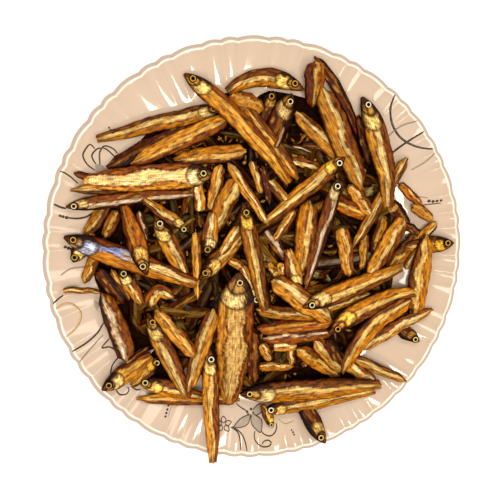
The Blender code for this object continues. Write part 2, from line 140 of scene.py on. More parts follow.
THICKNESS = {"whole": 0.43, "strip": 0.39, "split": 0.21}
THINNEST = 3.2 * MM
FLANK = 0.45
CROWN = 0.92
LANES = (-1.0, -0.5, 0.0, 0.5, 1.0)
SECTIONS = (0.0, 0.125, 0.45, 0.8, 1.0)

# The fish that show, from the bottom of the heap to its top: the kind, the pixel of the head end, the
# pixel of the tail end, the body's depth in pixels, how far it bows to the left of its way, its
# colouring, and the side of its way that its back is on, 1 for the left
FISH = (
    ("strip", 200, 124, 106, 168, 17, 0, "dark", 1),
    ("whole", 222, 108, 96, 139, 15, 0, "golden", -1),
    ("strip", 112, 198, 84, 237, 13, 0, "golden", 1),
    ("strip", 118, 210, 104, 239, 12, 0, "orange", 1),
    ("strip", 139, 210, 148, 243, 8, 0, "silver", 1),
    ("strip", 143, 201, 175, 220, 6, 3, "tan", 1),
    ("strip", 99, 248, 84, 284, 11, 0, "golden", 1),
    ("whole", 73, 262, 92, 232, 15, 0, "tan", 1),
    ("strip", 98, 268, 125, 305, 13, 0, "dark", 1),
    ("strip", 111, 269, 132, 302, 7, 0, "tan", -1),
    ("whole", 120, 268, 143, 304, 14, 0, "tan", 1),
    ("strip", 240, 400, 136, 399, 11, 0, "tan", 1),
    ("whole", 136, 380, 208, 398, 16, 0, "golden", 1),
    ("whole", 102, 390, 152, 355, 18, 0, "tan", 1),
    ("strip", 125, 364, 150, 346, 6, 0, "dark", 1),
    ("whole", 161, 357, 131, 386, 13, 0, "golden", 1),
    ("strip", 61, 291, 102, 293, 6, 2, "golden", 1),
    ("strip", 127, 362, 101, 292, 19, -3, "silver", 1),
    ("strip", 314, 56, 360, 140, 10, 5, "dark", 1),
    ("strip", 316, 60, 313, 108, 19, 0, "orange", -1),
    ("whole", 274, 91, 258, 132, 13, 0, "dark", -1),
    ("whole", 292, 94, 264, 156, 21, 0, "dark", 1),
    ("strip", 290, 160, 330, 172, 10, 0, "tan", 1),
    ("strip", 300, 145, 340, 150, 8, 0, "dark", 1),
    ("strip", 251, 160, 262, 195, 8, 0, "tan", 1),
    ("strip", 262, 165, 270, 205, 8, 0, "dark", 1),
    ("strip", 268, 180, 290, 205, 10, 0, "golden", -1),
    ("strip", 358, 115, 370, 165, 10, 0, "dark", 1),
    ("strip", 399, 183, 423, 207, 9, 0, "orange", 1),
    ("whole", 385, 199, 408, 226, 15, 0, "dark", 1),
    ("strip", 334, 202, 371, 217, 13, 0, "orange", 1),
    ("strip", 348, 184, 372, 216, 13, 0, "cream", 1),
    ("strip", 412, 205, 434, 220, 11, 0, "cream", 1),
    ("strip", 404, 224, 424, 236, 8, 0, "dark", 1),
    ("strip", 437, 221, 400, 262, 10, 0, "golden", 1),
    ("strip", 420, 235, 385, 272, 14, 0, "golden", -1),
    ("strip", 228, 259, 254, 273, 9, 0, "tan", 1),
    ("strip", 264, 228, 289, 262, 11, 0, "silver", 1),
    ("strip", 295, 209, 273, 243, 9, 0, "tan", 1),
    ("strip", 283, 262, 279, 280, 10, 0, "cream", 1),
    ("whole", 259, 304, 242, 266, 14, 0, "cream", 1),
    ("whole", 277, 279, 268, 262, 8, 0, "golden", 1),
    ("strip", 196, 228, 198, 302, 9, 0, "tan", 1),
    ("strip", 322, 310, 372, 292, 8, 0, "golden", 1),
    ("strip", 151, 308, 174, 298, 13, 12, "tan", 1),
    ("whole", 420, 342, 388, 320, 13, 0, "dark", 1),
    ("strip", 418, 322, 392, 312, 9, 0, "dark", 1),
    ("strip", 352, 357, 407, 382, 10, 0, "tan", 1),
    ("strip", 340, 360, 378, 384, 12, 0, "cream", 1),
    ("whole", 325, 443, 295, 392, 17, 0, "dark", 1),
    ("strip", 256, 329, 335, 322, 13, 0, "orange", 1),
    ("strip", 262, 339, 335, 332, 13, 0, "silver", 1),
    ("strip", 255, 309, 318, 317, 11, 0, "golden", 1),
    ("strip", 257, 366, 294, 366, 9, 0, "golden", 1),
    ("strip", 291, 344, 292, 366, 8, 0, "golden", 1),
    ("strip", 272, 346, 298, 346, 10, 0, "cream", 1),
    ("strip", 261, 343, 271, 361, 9, 0, "cream", 1),
    ("strip", 297, 348, 340, 376, 12, 0, "golden", 1),
    ("strip", 315, 340, 345, 372, 12, 0, "tan", 1),
    ("strip", 325, 340, 345, 365, 10, 0, "dark", 1),
    ("strip", 252, 330, 254, 384, 12, 0, "dark", 1),
    ("strip", 365, 232, 361, 270, 9, 0, "tan", 1),
    ("whole", 454, 243, 404, 247, 16, 0, "golden", -1),
    ("strip", 110, 182, 73, 173, 8, 0, "dark", 1),
    ("strip", 186, 184, 70, 190, 13, 0, "golden", 1),
    ("whole", 66, 207, 196, 194, 13, 2, "silver", -1),
    ("whole", 190, 233, 142, 198, 12, 0, "golden", 1),
    ("whole", 155, 215, 189, 284, 17, 0, "tan", 1),
    ("whole", 64, 237, 197, 284, 21, 0, "blue", 1),
    ("strip", 228, 97, 264, 110, 20, 0, "cream", 1),
    ("whole", 304, 90, 226, 92, 17, -13, "golden", -1),
    ("strip", 245, 108, 300, 180, 14, 0, "golden", 1),
    ("strip", 284, 126, 275, 149, 6, 0, "silver", 1),
    ("strip", 286, 147, 314, 154, 6, 2, "silver", 1),
    ("strip", 295, 112, 352, 171, 15, 0, "tan", 1),
    ("whole", 338, 178, 305, 286, 14, 0, "silver", 1),
    ("strip", 408, 157, 352, 248, 11, 0, "golden", 1),
    ("strip", 247, 151, 172, 160, 16, 0, "golden", 1),
    ("strip", 221, 164, 210, 212, 12, 0, "tan", 1),
    ("strip", 238, 178, 209, 236, 19, 0, "golden", 1),
    ("strip", 201, 213, 197, 180, 11, 0, "cream", 1),
    ("whole", 207, 256, 213, 212, 15, 0, "cream", 1),
    ("strip", 309, 200, 301, 274, 20, 0, "golden", 1),
    ("whole", 298, 293, 287, 248, 15, 0, "tan", 1),
    ("strip", 272, 279, 332, 321, 18, 0, "cream", 1),
    ("strip", 341, 225, 349, 278, 14, 0, "cream", 1),
    ("whole", 373, 262, 384, 217, 13, 0, "golden", 1),
    ("strip", 405, 217, 367, 276, 16, 0, "tan", 1),
    ("strip", 405, 270, 423, 242, 8, 0, "cream", 1),
    ("strip", 360, 350, 434, 309, 13, 3, "tan", 1),
    ("whole", 262, 411, 376, 391, 14, 0, "golden", 1),
    ("whole", 273, 427, 262, 404, 9, 0, "golden", 1),
    ("whole", 148, 313, 188, 398, 17, 0, "tan", 1),
    ("strip", 214, 308, 188, 392, 15, 0, "tan", -1),
    ("strip", 230, 118, 128, 165, 17, 0, "tan", 1),
    ("split", 213, 174, 82, 182, 24, 0, "cream", -1),
    ("whole", 147, 275, 124, 205, 18, 0, "orange", 1),
    ("whole", 184, 74, 289, 184, 18, 8, "tan", 1),
    ("strip", 322, 88, 362, 190, 23, 0, "tan", 1),
    ("whole", 362, 97, 388, 208, 21, 7, "tan", 1),
    ("whole", 345, 157, 264, 224, 15, 0, "golden", 1),
    ("strip", 228, 162, 269, 226, 10, 0, "tan", 1),
    ("whole", 199, 280, 246, 231, 17, 0, "golden", 1),
    ("strip", 239, 226, 220, 256, 10, 0, "cream", 1),
    ("whole", 243, 203, 265, 312, 16, 0, "golden", 1),
    ("whole", 302, 307, 402, 267, 17, 0, "golden", -1),
    ("strip", 415, 314, 427, 234, 19, 0, "golden", 1),
    ("strip", 156, 309, 196, 358, 15, 0, "cream", 1),
    ("split", 239, 273, 229, 404, 28, 0, "cream", 1),
    ("whole", 210, 349, 213, 463, 15, 0, "tan", 1),
    ("whole", 329, 334, 416, 292, 18, 8, "golden", -1),
    ("strip", 412, 300, 342, 375, 17, -11, "golden", -1),
    ("whole", 240, 394, 381, 384, 20, 0, "golden", 1),
)

# Each colouring of dried skin: the back, the stripe along the flank, the belly, the edges, the cheek
COLOURS = {
    "golden": ("#8E6A24", "#E6DAB6", "#C89C38", "#2A1406", "#F0D070"),
    "orange": ("#8A5A18", "#DEC690", "#BC8826", "#2A1004", "#E6BC58"),
    "tan": ("#9C7030", "#E6DCBE", "#D6AE60", "#3A2008", "#EEDCA4"),
    "silver": ("#5E3E16", "#DAD4D2", "#946A22", "#201004", "#D8CCAC"),
    "dark": ("#3E220A", "#94743E", "#6C4212", "#140804", "#A88834"),
    "cream": ("#A87C38", "#EADFC4", "#D8B068", "#4C280C", "#F0E2B8"),
    "blue": ("#8C5E20", "#86B4FF", "#C89C48", "#241004", "#A8C4F4"),
}
# The colours that all the fish share: worn and greyed silver, and a face's bone, gold, burns and seams
WORN, GREYED, BONE = "#DCC88C", "#A89C88", "#F0EAD6"
GILL_GOLD, BURNT, SNOUT, SEAM = "#B48C38", "#2A1206", "#4C2A0C", "#140803"
IRISES = ("#D6C38C", "#E4DABC", "#B98F34", "#A8843C", "#CDB878")
SCRAP_TONES = ("#A8741C", "#6E4410", "#B8944C", "#2A1406", "#8C5A12")
# The oil that soaks the dried skin deepens its red, green and blue to these powers, and dims it all
OIL_DEPTH = (1.25, 1.48, 1.8)
OIL_SHADE = 0.93
# The skin's marks: their size in millimetres along the fish and across it, and the waves that make them
WANDER = (5.0, 3.0, 5)
DEEP_TONE = (12.0, 4.0, 6)
WORN_SKIN = (14.0, 4.0, 6)
CLEAR_SKIN = (10.0, 4.0, 6)
GREY_SKIN = (13.0, 6.0, 6)
BURNT_SKIN = (9.0, 3.0, 6)
CREASE = (16.0, 20.0, 4)
CREASES = 3
WRINKLES = (18.0, 2.4, 8)
DENTS = (10.0, 5.0, 6)
NICKS = (12.0, 9.0, 5)
FINE_NICKS = (2.5, 9.0, 4)
FOLD_PITCH = 1.5
# A fish this thick has its full relief, and a thinner one has less. It rolls and sways by up to so much
FULL_RELIEF = 4.5 * MM
ROLL = 0.16
SWAY = 0.3 * MM
# Every fish reads its own slice of the skin's patterns, this many millimetres from the last one's
SLICES_APART = 41.0
# The silver stripe's place and half width, as shares of the half depth, and how much broader a split one is
STRIPE_PLACE = 0.06
STRIPE_HALF = 0.27
SPLIT_STRIPE = 1.9
# A head is this many half depths long, but never more than this share of the fish
HEAD_LENGTHS = {"whole": 3.0, "split": 2.0}
LONGEST_HEAD = 0.42
HEAD_SHAPE = ((0.0, 0.14), (0.15, 0.4), (0.3, 0.62), (0.6, 0.88), (0.95, 1.0), (1.4, 1.0))
GILL_BOW = 0.3
EYE_REACH = 6.0 * MM
EYE_RADIUS = 2.6 * MM
EYE_HEIGHT = 0.6 * MM
# How a body's section is rounded: its top, and the powers of its upper and its lower face
TOP = 0.98
UPPER_ROUND = 2.6
LOWER_ROUND = 1.6
# Relief that would pass the solid's top is pressed into its last millimetre, a hair under it
PRESSED = 1.0 * MM
HAIR = 0.05 * MM

# The rings along a fish, and the points of each ring on its upper face and on its lower one
WHOLE_MESH = (80, 20, 8)
STRIP_MESH = (54, 16, 8)
SPLIT_MESH = (100, 44, 12)
BURIED_MESH = (30, 12, 6)
# The buried fish: how many, their tones, and the range of each one's length, half depth, thickness and sink
BURIED_FISH = 120
BURIED_TONES = ("golden", "orange", "tan", "dark", "dark", "orange")
BURIED_LENGTH = (28.0 * MM, 68.0 * MM)
BURIED_HALF = (3.2 * MM, 5.0 * MM)
BURIED_THICKNESS = (3.6 * MM, 4.6 * MM)
BURIED_SINK = (2.0 * MM, 3.2 * MM)
# Painted shade on the hidden fish: each one's coat is multiplied by BOTTOM_SHADE plus up to MIDDLE_SHADE
BOTTOM_SHADE = 0.07
MIDDLE_SHADE = 0.3
SCRAPS = 420
# The heap's dark middle: its rings and the points of each, how deep it lies, and its crumbled roughness
MIDDLE_MESH = (44, 120)
SUNK_MIDDLE = 2.6 * MM
CRUMBLE = (5.0, 5.0, 8)
# The seeds. Each fish's own is the first plus its number, and the hidden ones are numbered from the
# next two: the fillers and the buried ones
FISH_SEED, FILLER_MARKS, BURIED_MARKS = 1000, 500, 700
HEAP_SEED, MOUND_SEED = 5, 11


def linear(hex_colour):
    """A colour's linear red, green and blue from its sRGB hex value."""
    shares = np.array([int(hex_colour[k:k + 2], 16) / 255.0 for k in (1, 3, 5)])
    return np.where(shares <= 0.04045, shares / 12.92, ((shares + 0.055) / 1.055) ** 2.4)


def rgba(hex_colour):
    """The same colour as a socket takes it."""
    return (*linear(hex_colour), 1.0)


def smooth_step(low, high, value):
    """0 below low, 1 above high, and 3s^2 - 2s^3 between."""
    share = np.clip((value - low) / (high - low), 0.0, 1.0)
    return share * share * (3.0 - 2.0 * share)


def bump_at(value, centre, width):
    """A bell of height 1: exp(-((value - centre) / width)^2)."""
    return np.exp(-((value - centre) / width) ** 2)


def ripple(draw, u, v, pitch_u, pitch_v, waves=6):
    """Smooth noise of about -1 to 1: a sum of sines, each with its own pitch, slant and phase."""
    total = np.zeros(np.broadcast(u, v).shape)
    for _ in range(waves):
        turns_u = draw.uniform(0.4, 1.6) / pitch_u * draw.choice((-1.0, 1.0))
        turns_v = draw.uniform(0.4, 1.6) / pitch_v
        total += np.sin(2.0 * math.pi * (u * turns_u + v * turns_v + draw.random()))
    return total / math.sqrt(waves)


def make_piece(name, points, quads, tris, attributes, material):
    """A smooth mesh object from arrays of points, four-sided and three-sided faces and attributes."""
    mesh = bpy.data.meshes.new(name)
    mesh.vertices.add(len(points))
    mesh.vertices.foreach_set("co", np.asarray(points, dtype=np.float32).ravel())
    loops = np.concatenate([np.asarray(faces, dtype=np.int32).ravel() for faces in (quads, tris)])
    counts = np.concatenate([np.full(len(quads), 4), np.full(len(tris), 3)]).astype(np.int32)
    mesh.loops.add(len(loops))
    mesh.loops.foreach_set("vertex_index", loops)
    mesh.polygons.add(len(counts))
    mesh.polygons.foreach_set("loop_start", np.concatenate([[0], np.cumsum(counts)[:-1]]).astype(np.int32))
    mesh.update(calc_edges=True)
    for key, values in attributes.items():
        kind = "FLOAT_VECTOR" if np.ndim(values) == 2 else "FLOAT"
        layer = mesh.attributes.new(key, kind, "POINT")
        layer.data.foreach_set("vector" if kind == "FLOAT_VECTOR" else "value",
                               np.asarray(values, dtype=np.float32).ravel())
    mesh.shade_smooth()
    mesh.materials.append(material)
    made = bpy.data.objects.new(name, mesh)
    bpy.context.scene.collection.objects.link(made)
    return made


def tube_faces(stations, around, first):
    """The faces of a closed tube of rings with a pole at each end, for points in that order."""
    ring = first + np.arange(stations - 1)[:, None] * around
    k = np.arange(around)
    following = (k + 1) % around
    here, beside = ring + k, ring + following
    quads = np.stack((here, beside, beside + around, here + around), axis=-1).reshape(-1, 4)
    pole = np.full(around, first + stations * around)
    last = first + (stations - 1) * around
    start = np.stack((pole, first + following, first + k), axis=-1)
    end = np.stack((pole + 1, last + k, last + following), axis=-1)
    return quads, np.concatenate((start, end))


class Batch:
    """Tubes collected into one piece."""

    def __init__(self):
        self.points, self.quads, self.tris, self.attributes = [], [], [], {}
        self.count = 0

    def add(self, points, attributes):
        """Add a tube of rings, given as stations x around x 3, and close its ends with poles."""
        stations, around = points.shape[:2]
        quads, tris = tube_faces(stations, around, self.count)
        poles = np.stack((points[0].mean(axis=0), points[-1].mean(axis=0)))
        self.points.append(np.concatenate((points.reshape(-1, 3), poles)))
        self.quads.append(quads)
        self.tris.append(tris)
        for key, values in attributes.items():
            rings = values.reshape(stations, around, -1)
            ends = rings[[0, -1]].mean(axis=1)
            flat = rings.reshape(stations * around, -1)
            self.attributes.setdefault(key, []).append(np.concatenate((flat, ends)))
        self.count += stations * around + 2

    def piece(self, name, material):
        """The one mesh object of all that was added."""
        joined = {key: np.concatenate(parts) for key, parts in self.attributes.items()}
        joined = {key: part[:, 0] if part.shape[1] == 1 else part for key, part in joined.items()}
        return make_piece(name, np.concatenate(self.points), np.concatenate(self.quads),
                          np.concatenate(self.tris), joined, material)


# The laying of the heap

def facing(back):
    """The directions across and up for something that looks against back, its up towards +Y."""
    across = np.cross((0.0, 1.0, 0.0), back)
    across /= np.linalg.norm(across)
    return across, np.cross(back, across)


BACK = np.array((math.sin(VIEW_TILT) * math.cos(VIEW_TURN), math.sin(VIEW_TILT) * math.sin(VIEW_TURN),
                 math.cos(VIEW_TILT)))
ACROSS, UP = facing(BACK)
EYE = VIEW_DISTANCE * BACK + np.array((0.0, 0.0, RIM_HEIGHT))


def place(u, v, height):
    """The point at this height that the photograph shows at pixel (u, v)."""
    right = np.asarray((u - VIEW_CENTRE[0]) / VIEW_FOCAL)[..., None]
    down = np.asarray((v - VIEW_CENTRE[1]) / VIEW_FOCAL)[..., None]
    ray = right * ACROSS - down * UP - BACK
    return EYE + ray * np.asarray(height - EYE[2])[..., None] / ray[..., 2:]


def plate_top(radius):
    """The highest that the plate's upper side reaches at this radius, ridges included."""
    radii = [0.0] + [r * MM for r, _ in UPPER_PROFILE] + [RIM_RADIUS]
    heights = [WELL_HEIGHT] + [z * MM for _, z in UPPER_PROFILE] + [RIM_HEIGHT]
    shares = np.clip((radius - FLUTE_START) / (RIM_RADIUS - FLUTE_START), 0.0, 1.0)
    level = np.interp(radius + NOTCH_DEPTH * shares, radii, heights)
    return level + FLUTE_RELIEF * shares


class Heap:
    """The height of all that is laid so far, on a grid of small squares over the plate."""

    def __init__(self):
        line = np.arange(-GRID_HALF, GRID_HALF + 1) * GRID_STEP
        self.x, self.y = np.meshgrid(line, line)
        radius = np.hypot(self.x, self.y)
        self.height = plate_top(radius) + CLEARANCE + SINK
        self.height[radius > RIM_RADIUS + 1.0 * MM] = 0.0
        self.bare = self.height.copy()
        dome = np.clip(1.0 - (radius / CORE_RADIUS) ** 2, 0.0, 1.0) ** MOUND_ROUND
        self.height += MOUND * dome

    def supports(self, heights, line, side, half, thick):
        """How high these heights hold the keel at each station of a body's centre line."""
        held = []
        for lane in LANES:
            points = line + side * (half * lane)[:, None]
            held.append(sampled(heights, points) - abs(lane) * FLANK * thick)
        return np.max(held, axis=0)

    def covered_reach(self, angle):
        """How far from the centre the heap covers the plate without a break, at this angle."""
        radii = np.arange(CORE_RADIUS - 8.0 * MM, RIM_RADIUS, GRID_STEP)
        spots = radii[:, None] * np.array((math.cos(angle), math.sin(angle)))
        cells = np.rint(spots / GRID_STEP).astype(int) + GRID_HALF
        under = self.height[cells[:, 1], cells[:, 0]] > self.bare[cells[:, 1], cells[:, 0]] + COVER
        gap = np.convolve(~under, np.ones(WIDEST_GAP), mode="valid") == WIDEST_GAP
        return radii[int(np.argmax(gap))] if gap.any() else radii[-1]

    def raise_to(self, line, base, half, thick):
        """Add a body's crowned top to the heights."""
        low = (line.min(axis=0) - half.max()) / GRID_STEP + GRID_HALF
        high = (line.max(axis=0) + half.max()) / GRID_STEP + GRID_HALF
        x0, y0 = np.clip(np.floor(low).astype(int), 0, 2 * GRID_HALF)
        x1, y1 = np.clip(np.ceil(high).astype(int) + 1, 1, 2 * GRID_HALF + 1)
        window = self.height[y0:y1, x0:x1]
        spots = np.stack((self.x[y0:y1, x0:x1], self.y[y0:y1, x0:x1]), axis=-1)
        apart = np.linalg.norm(spots[:, :, None, :] - line[None, None, :, :], axis=-1)
        nearest = apart.argmin(axis=-1)
        off = apart.min(axis=-1) / half[nearest]
        crown = np.interp(off, (0.5, 1.0), (CROWN, FLANK))
        top = base[nearest] + crown * thick[nearest]
        np.copyto(window, np.maximum(window, top), where=off < 1.0)


def sampled(heights, points):
    """The height of the grid at each point."""
    cells = np.clip(np.rint(points / GRID_STEP).astype(int) + GRID_HALF, 0, 2 * GRID_HALF)
    return heights[cells[..., 1], cells[..., 0]]


def smoothed(height, reach):
    """The heights averaged over a square of this half width, in cells, twice."""
    window = np.ones(2 * reach + 1) / (2 * reach + 1)
    for _ in range(2):
        height = np.apply_along_axis(np.convolve, 0, height, window, mode="same")
        height = np.apply_along_axis(np.convolve, 1, height, window, mode="same")
    return height


def profile(kind, along):
    """The body's depth at each share of its length, straight between its few sections."""
    stops, shares = zip(*PROFILES[kind])
    return np.interp(along, SECTIONS, np.interp(SECTIONS, stops, shares))


def resting_line(along, supports, length):
    """The straight line that a stiff body settles to on its supports, by its weight's place."""
    best = None
    left = np.flatnonzero(along <= WEIGHT_PLACE)
    right = np.flatnonzero(along > WEIGHT_PLACE)
    for i in left:
        rise = (supports[right] - supports[i]) / (along[right] - along[i])
        value = supports[i] + rise.max() * (WEIGHT_PLACE - along[i])
        if best is None or value > best[0]:
            best = (value, rise.max())
    steep = STEEPEST * length
    slope = min(steep, max(-steep, best[1]))
    level = np.max(supports - slope * (along - WEIGHT_PLACE))
    return level + slope * (along - WEIGHT_PLACE)


def centre_line(head, tail, bow, along):
    """The body's centre line seen from above, the same line's left-hand normals, and its length."""
    way = tail - head
    length = np.linalg.norm(way)
    normal = np.array((-way[1], way[0])) / length
    line = head + way * along[:, None] + normal * (bow * 4.0 * along * (1.0 - along))[:, None]
    tangent = np.gradient(line, along, axis=0)
    tangent /= np.linalg.norm(tangent, axis=1)[:, None]
    return line, np.stack((-tangent[:, 1], tangent[:, 0]), axis=1), length


def settle(heap, kind, head, tail, half_depth, bow):
    """Lay one body on the heap, and give its line, sides, base, half depths and thicknesses."""
    along = np.linspace(0.0, 1.0, STATIONS)
    line, side, length = centre_line(head, tail, bow, along)
    half = half_depth * profile(kind, along)
    thickness = max(THINNEST, THICKNESS[kind] * 2.0 * half_depth)
    thick = thickness * np.sqrt(profile(kind, along))
    supports = heap.supports(heap.height, line, side, half, thick)
    plate_supports = heap.supports(heap.bare, line, side, half, thick)
    straight = resting_line(along, supports, length)
    window = np.ones(2 * EASING + 1) / (2 * EASING + 1)
    eased = np.convolve(np.pad(supports, EASING, mode="edge"), window, mode="valid")
    bent = straight + BEND * (np.minimum(eased, straight) - straight)
    base = np.interp(along, SECTIONS, np.interp(SECTIONS, along, np.maximum(bent, supports)))
    for _ in range(LIFTING_PASSES):
        short = plate_supports - base
        worst = int(np.argmax(short))
        turn = along / along[worst] if along[worst] > 0.5 else (1.0 - along) / (1.0 - along[worst])
        base = base + max(0.0, short[worst]) * turn
    base = base + max(0.0, np.max(plate_supports - base))
    return line, side, base - SINK, half, thick


def lay_fillers(heap):
    """Lay the hidden fish under the ones that show, in a seeded random order."""
    draw = np.random.default_rng(FILLER_SEED)
    laid = []
    for _ in range(FILLERS):
        reach = FILLER_REACH * math.sqrt(draw.random())
        spot_angle = draw.uniform(0.0, 2.0 * math.pi)
        turn = draw.uniform(0.0, 2.0 * math.pi)
        half_length = 0.5 * draw.uniform(*FILLER_LENGTH)
        half_depth = 0.5 * draw.uniform(*FILLER_DEPTH)
        middle = reach * np.array((math.cos(spot_angle), math.sin(spot_angle)))
        way = half_length * np.array((math.cos(turn), math.sin(turn)))
        filler = settle(heap, "whole", middle - way, middle + way, half_depth, 0.0)
        heap.raise_to(filler[0], filler[2], filler[3], filler[4])
        laid.append(filler)
    return laid


def lay_fish(heap, row):
    """Lay one fish of the list, moving its ends along their lines of sight to the heap's height."""
    kind, head_u, head_v, tail_u, tail_v, depth, bow = row[:7]
    head_height = tail_height = START_HEIGHT
    for _ in range(LAYING_PASSES):
        head = place(head_u, head_v, head_height)
        tail = place(tail_u, tail_v, tail_height)
        pixel = np.linalg.norm(tail - head) / math.hypot(tail_u - head_u, tail_v - head_v)
        half_depth = 0.5 * FULLNESS * depth * pixel
        laid = settle(heap, kind, head[:2], tail[:2], half_depth, bow * pixel)
        head_height = laid[2][0] + 0.5 * laid[4][0]
        tail_height = laid[2][-1] + 0.5 * laid[4][-1]
    heap.raise_to(laid[0], laid[2], laid[3], laid[4])
    return laid


# The fish

def fine_profile(kind, along):
    """The body's depth at each share of its length, rounded between its named places."""
    stops, shares = zip(*PROFILES[kind])
    reach = np.linspace(-0.03, 0.03, 7)
    return np.mean([np.interp(np.clip(along + r, 0.0, 1.0), stops, shares) for r in reach], axis=0)


def crown(a):
    """The upper face's height at a share across the body: FLANK + (TOP - FLANK) (1 - |a|^2.6)^0.5."""
    return FLANK + (TOP - FLANK) * (1.0 - np.abs(a) ** UPPER_ROUND) ** 0.5


def ring_shape(top, under):
    """Where a ring's points lie: the place across, -1 to 1, the height, and 1 on the upper face.

    The upper face follows the crown, and the lower one is FLANK (1 - (1 - |a|^1.6)^0.8).
    """
    upper = -np.cos(np.linspace(0.0, math.pi, top))
    upper = 0.5 * upper + 0.5 * np.linspace(-1.0, 1.0, top)
    lower = np.linspace(1.0, -1.0, under + 2)[1:-1]
    across = np.concatenate((upper, lower))
    over = np.concatenate((np.ones(top), np.zeros(under)))
    keel = FLANK * (1.0 - (1.0 - np.abs(across) ** LOWER_ROUND) ** 0.8)
    return across, np.where(over > 0.5, crown(across), keel), over


def at_share(laid, t):
    """A laid fish's middle line, its left-hand direction and its keel's height at shares t of its length."""
    along = np.linspace(0.0, 1.0, STATIONS)
    spine, sideways = (np.stack([np.interp(t, along, way[:, k]) for k in (0, 1)], axis=-1)
                       for way in laid[:2])
    return spine, sideways / np.linalg.norm(sideways, axis=-1)[..., None], np.interp(t, along, laid[2])


def span(laid):
    """A laid fish's length from end to end."""
    return np.linalg.norm(laid[0][-1] - laid[0][0])


def head_share(kind, run, length, depth):
    """How far along the head each place is: 0 at the snout, 1 at the gill's edge, more on the body."""
    if kind == "strip":
        return run + 2.0
    return run / min(HEAD_LENGTHS[kind] * depth, LONGEST_HEAD * length)


def pressed_in(z):
    """Heights held under the solid's top: above its last millimetre they rise as 1 - exp(-h)."""
    knee = cad_high[2] - HAIR - PRESSED
    over = np.maximum(z - knee, 0.0)
    return np.where(z > knee, knee + PRESSED * (1.0 - np.exp(-over / PRESSED)), z)


def body_depth(kind, t, length, depth):
    """The body's half depth along its length, held in by a head's taper or by a strip's frayed ends."""
    stops, shares = zip(*HEAD_SHAPE)
    taper = np.interp(head_share(kind, t * length, length, depth), stops, shares)
    frayed = (0.45 + 0.55 * smooth_step(0.0, 0.1, t)) * (0.4 + 0.6 * smooth_step(0.0, 0.14, 1.0 - t))
    return depth * np.minimum(fine_profile(kind, t), taper) * (frayed if kind == "strip" else 1.0)


def slow_change(draw, t, pitch):
    """A slow change along the length: a ripple whose pitch is a share of the length."""
    return ripple(draw, t, 0.0 * t, pitch, 1.0, 3)


def fish_relief(draw, kind, head, body, b, stripe_at, run, wide):
    """The shrunken skin's height in millimetres.

    The flank stands 0.3 mm proud along the stripe between two grooves. Lengthwise wrinkles, slanting
    muscle folds FOLD_PITCH apart and broad dents are added, and a head's raised, folded gill cover.
    """
    wrinkles = ripple(draw, run, wide, *WRINKLES)
    folds = np.sin(2.0 * math.pi * (run - 0.7 * np.abs(wide)) / FOLD_PITCH + 1.5 * wrinkles)
    dents = ripple(draw, run, wide, *DENTS)
    apart = np.abs(stripe_at)
    ridge = 0.8 * bump_at(apart, 0.0, 0.8) - 1.1 * bump_at(apart, 1.12, 0.22)
    flat = 0.5 if kind == "split" else 1.0
    relief = body * (0.36 * flat * ridge + 0.03 * wrinkles + 0.025 * folds) + 0.13 * dents
    gill = head + GILL_BOW * b ** 2
    cover = smooth_step(0.55, 0.61, gill) * (1.0 - smooth_step(0.95, 1.01, gill))
    cover = cover * (1.0 - smooth_step(0.55, 0.75, np.abs(b + 0.05)))
    plates = np.abs(np.sin(math.pi * (3.2 * gill + 0.9 * b + 0.3 * dents)))
    return relief + cover * (0.3 + 0.3 * plates)


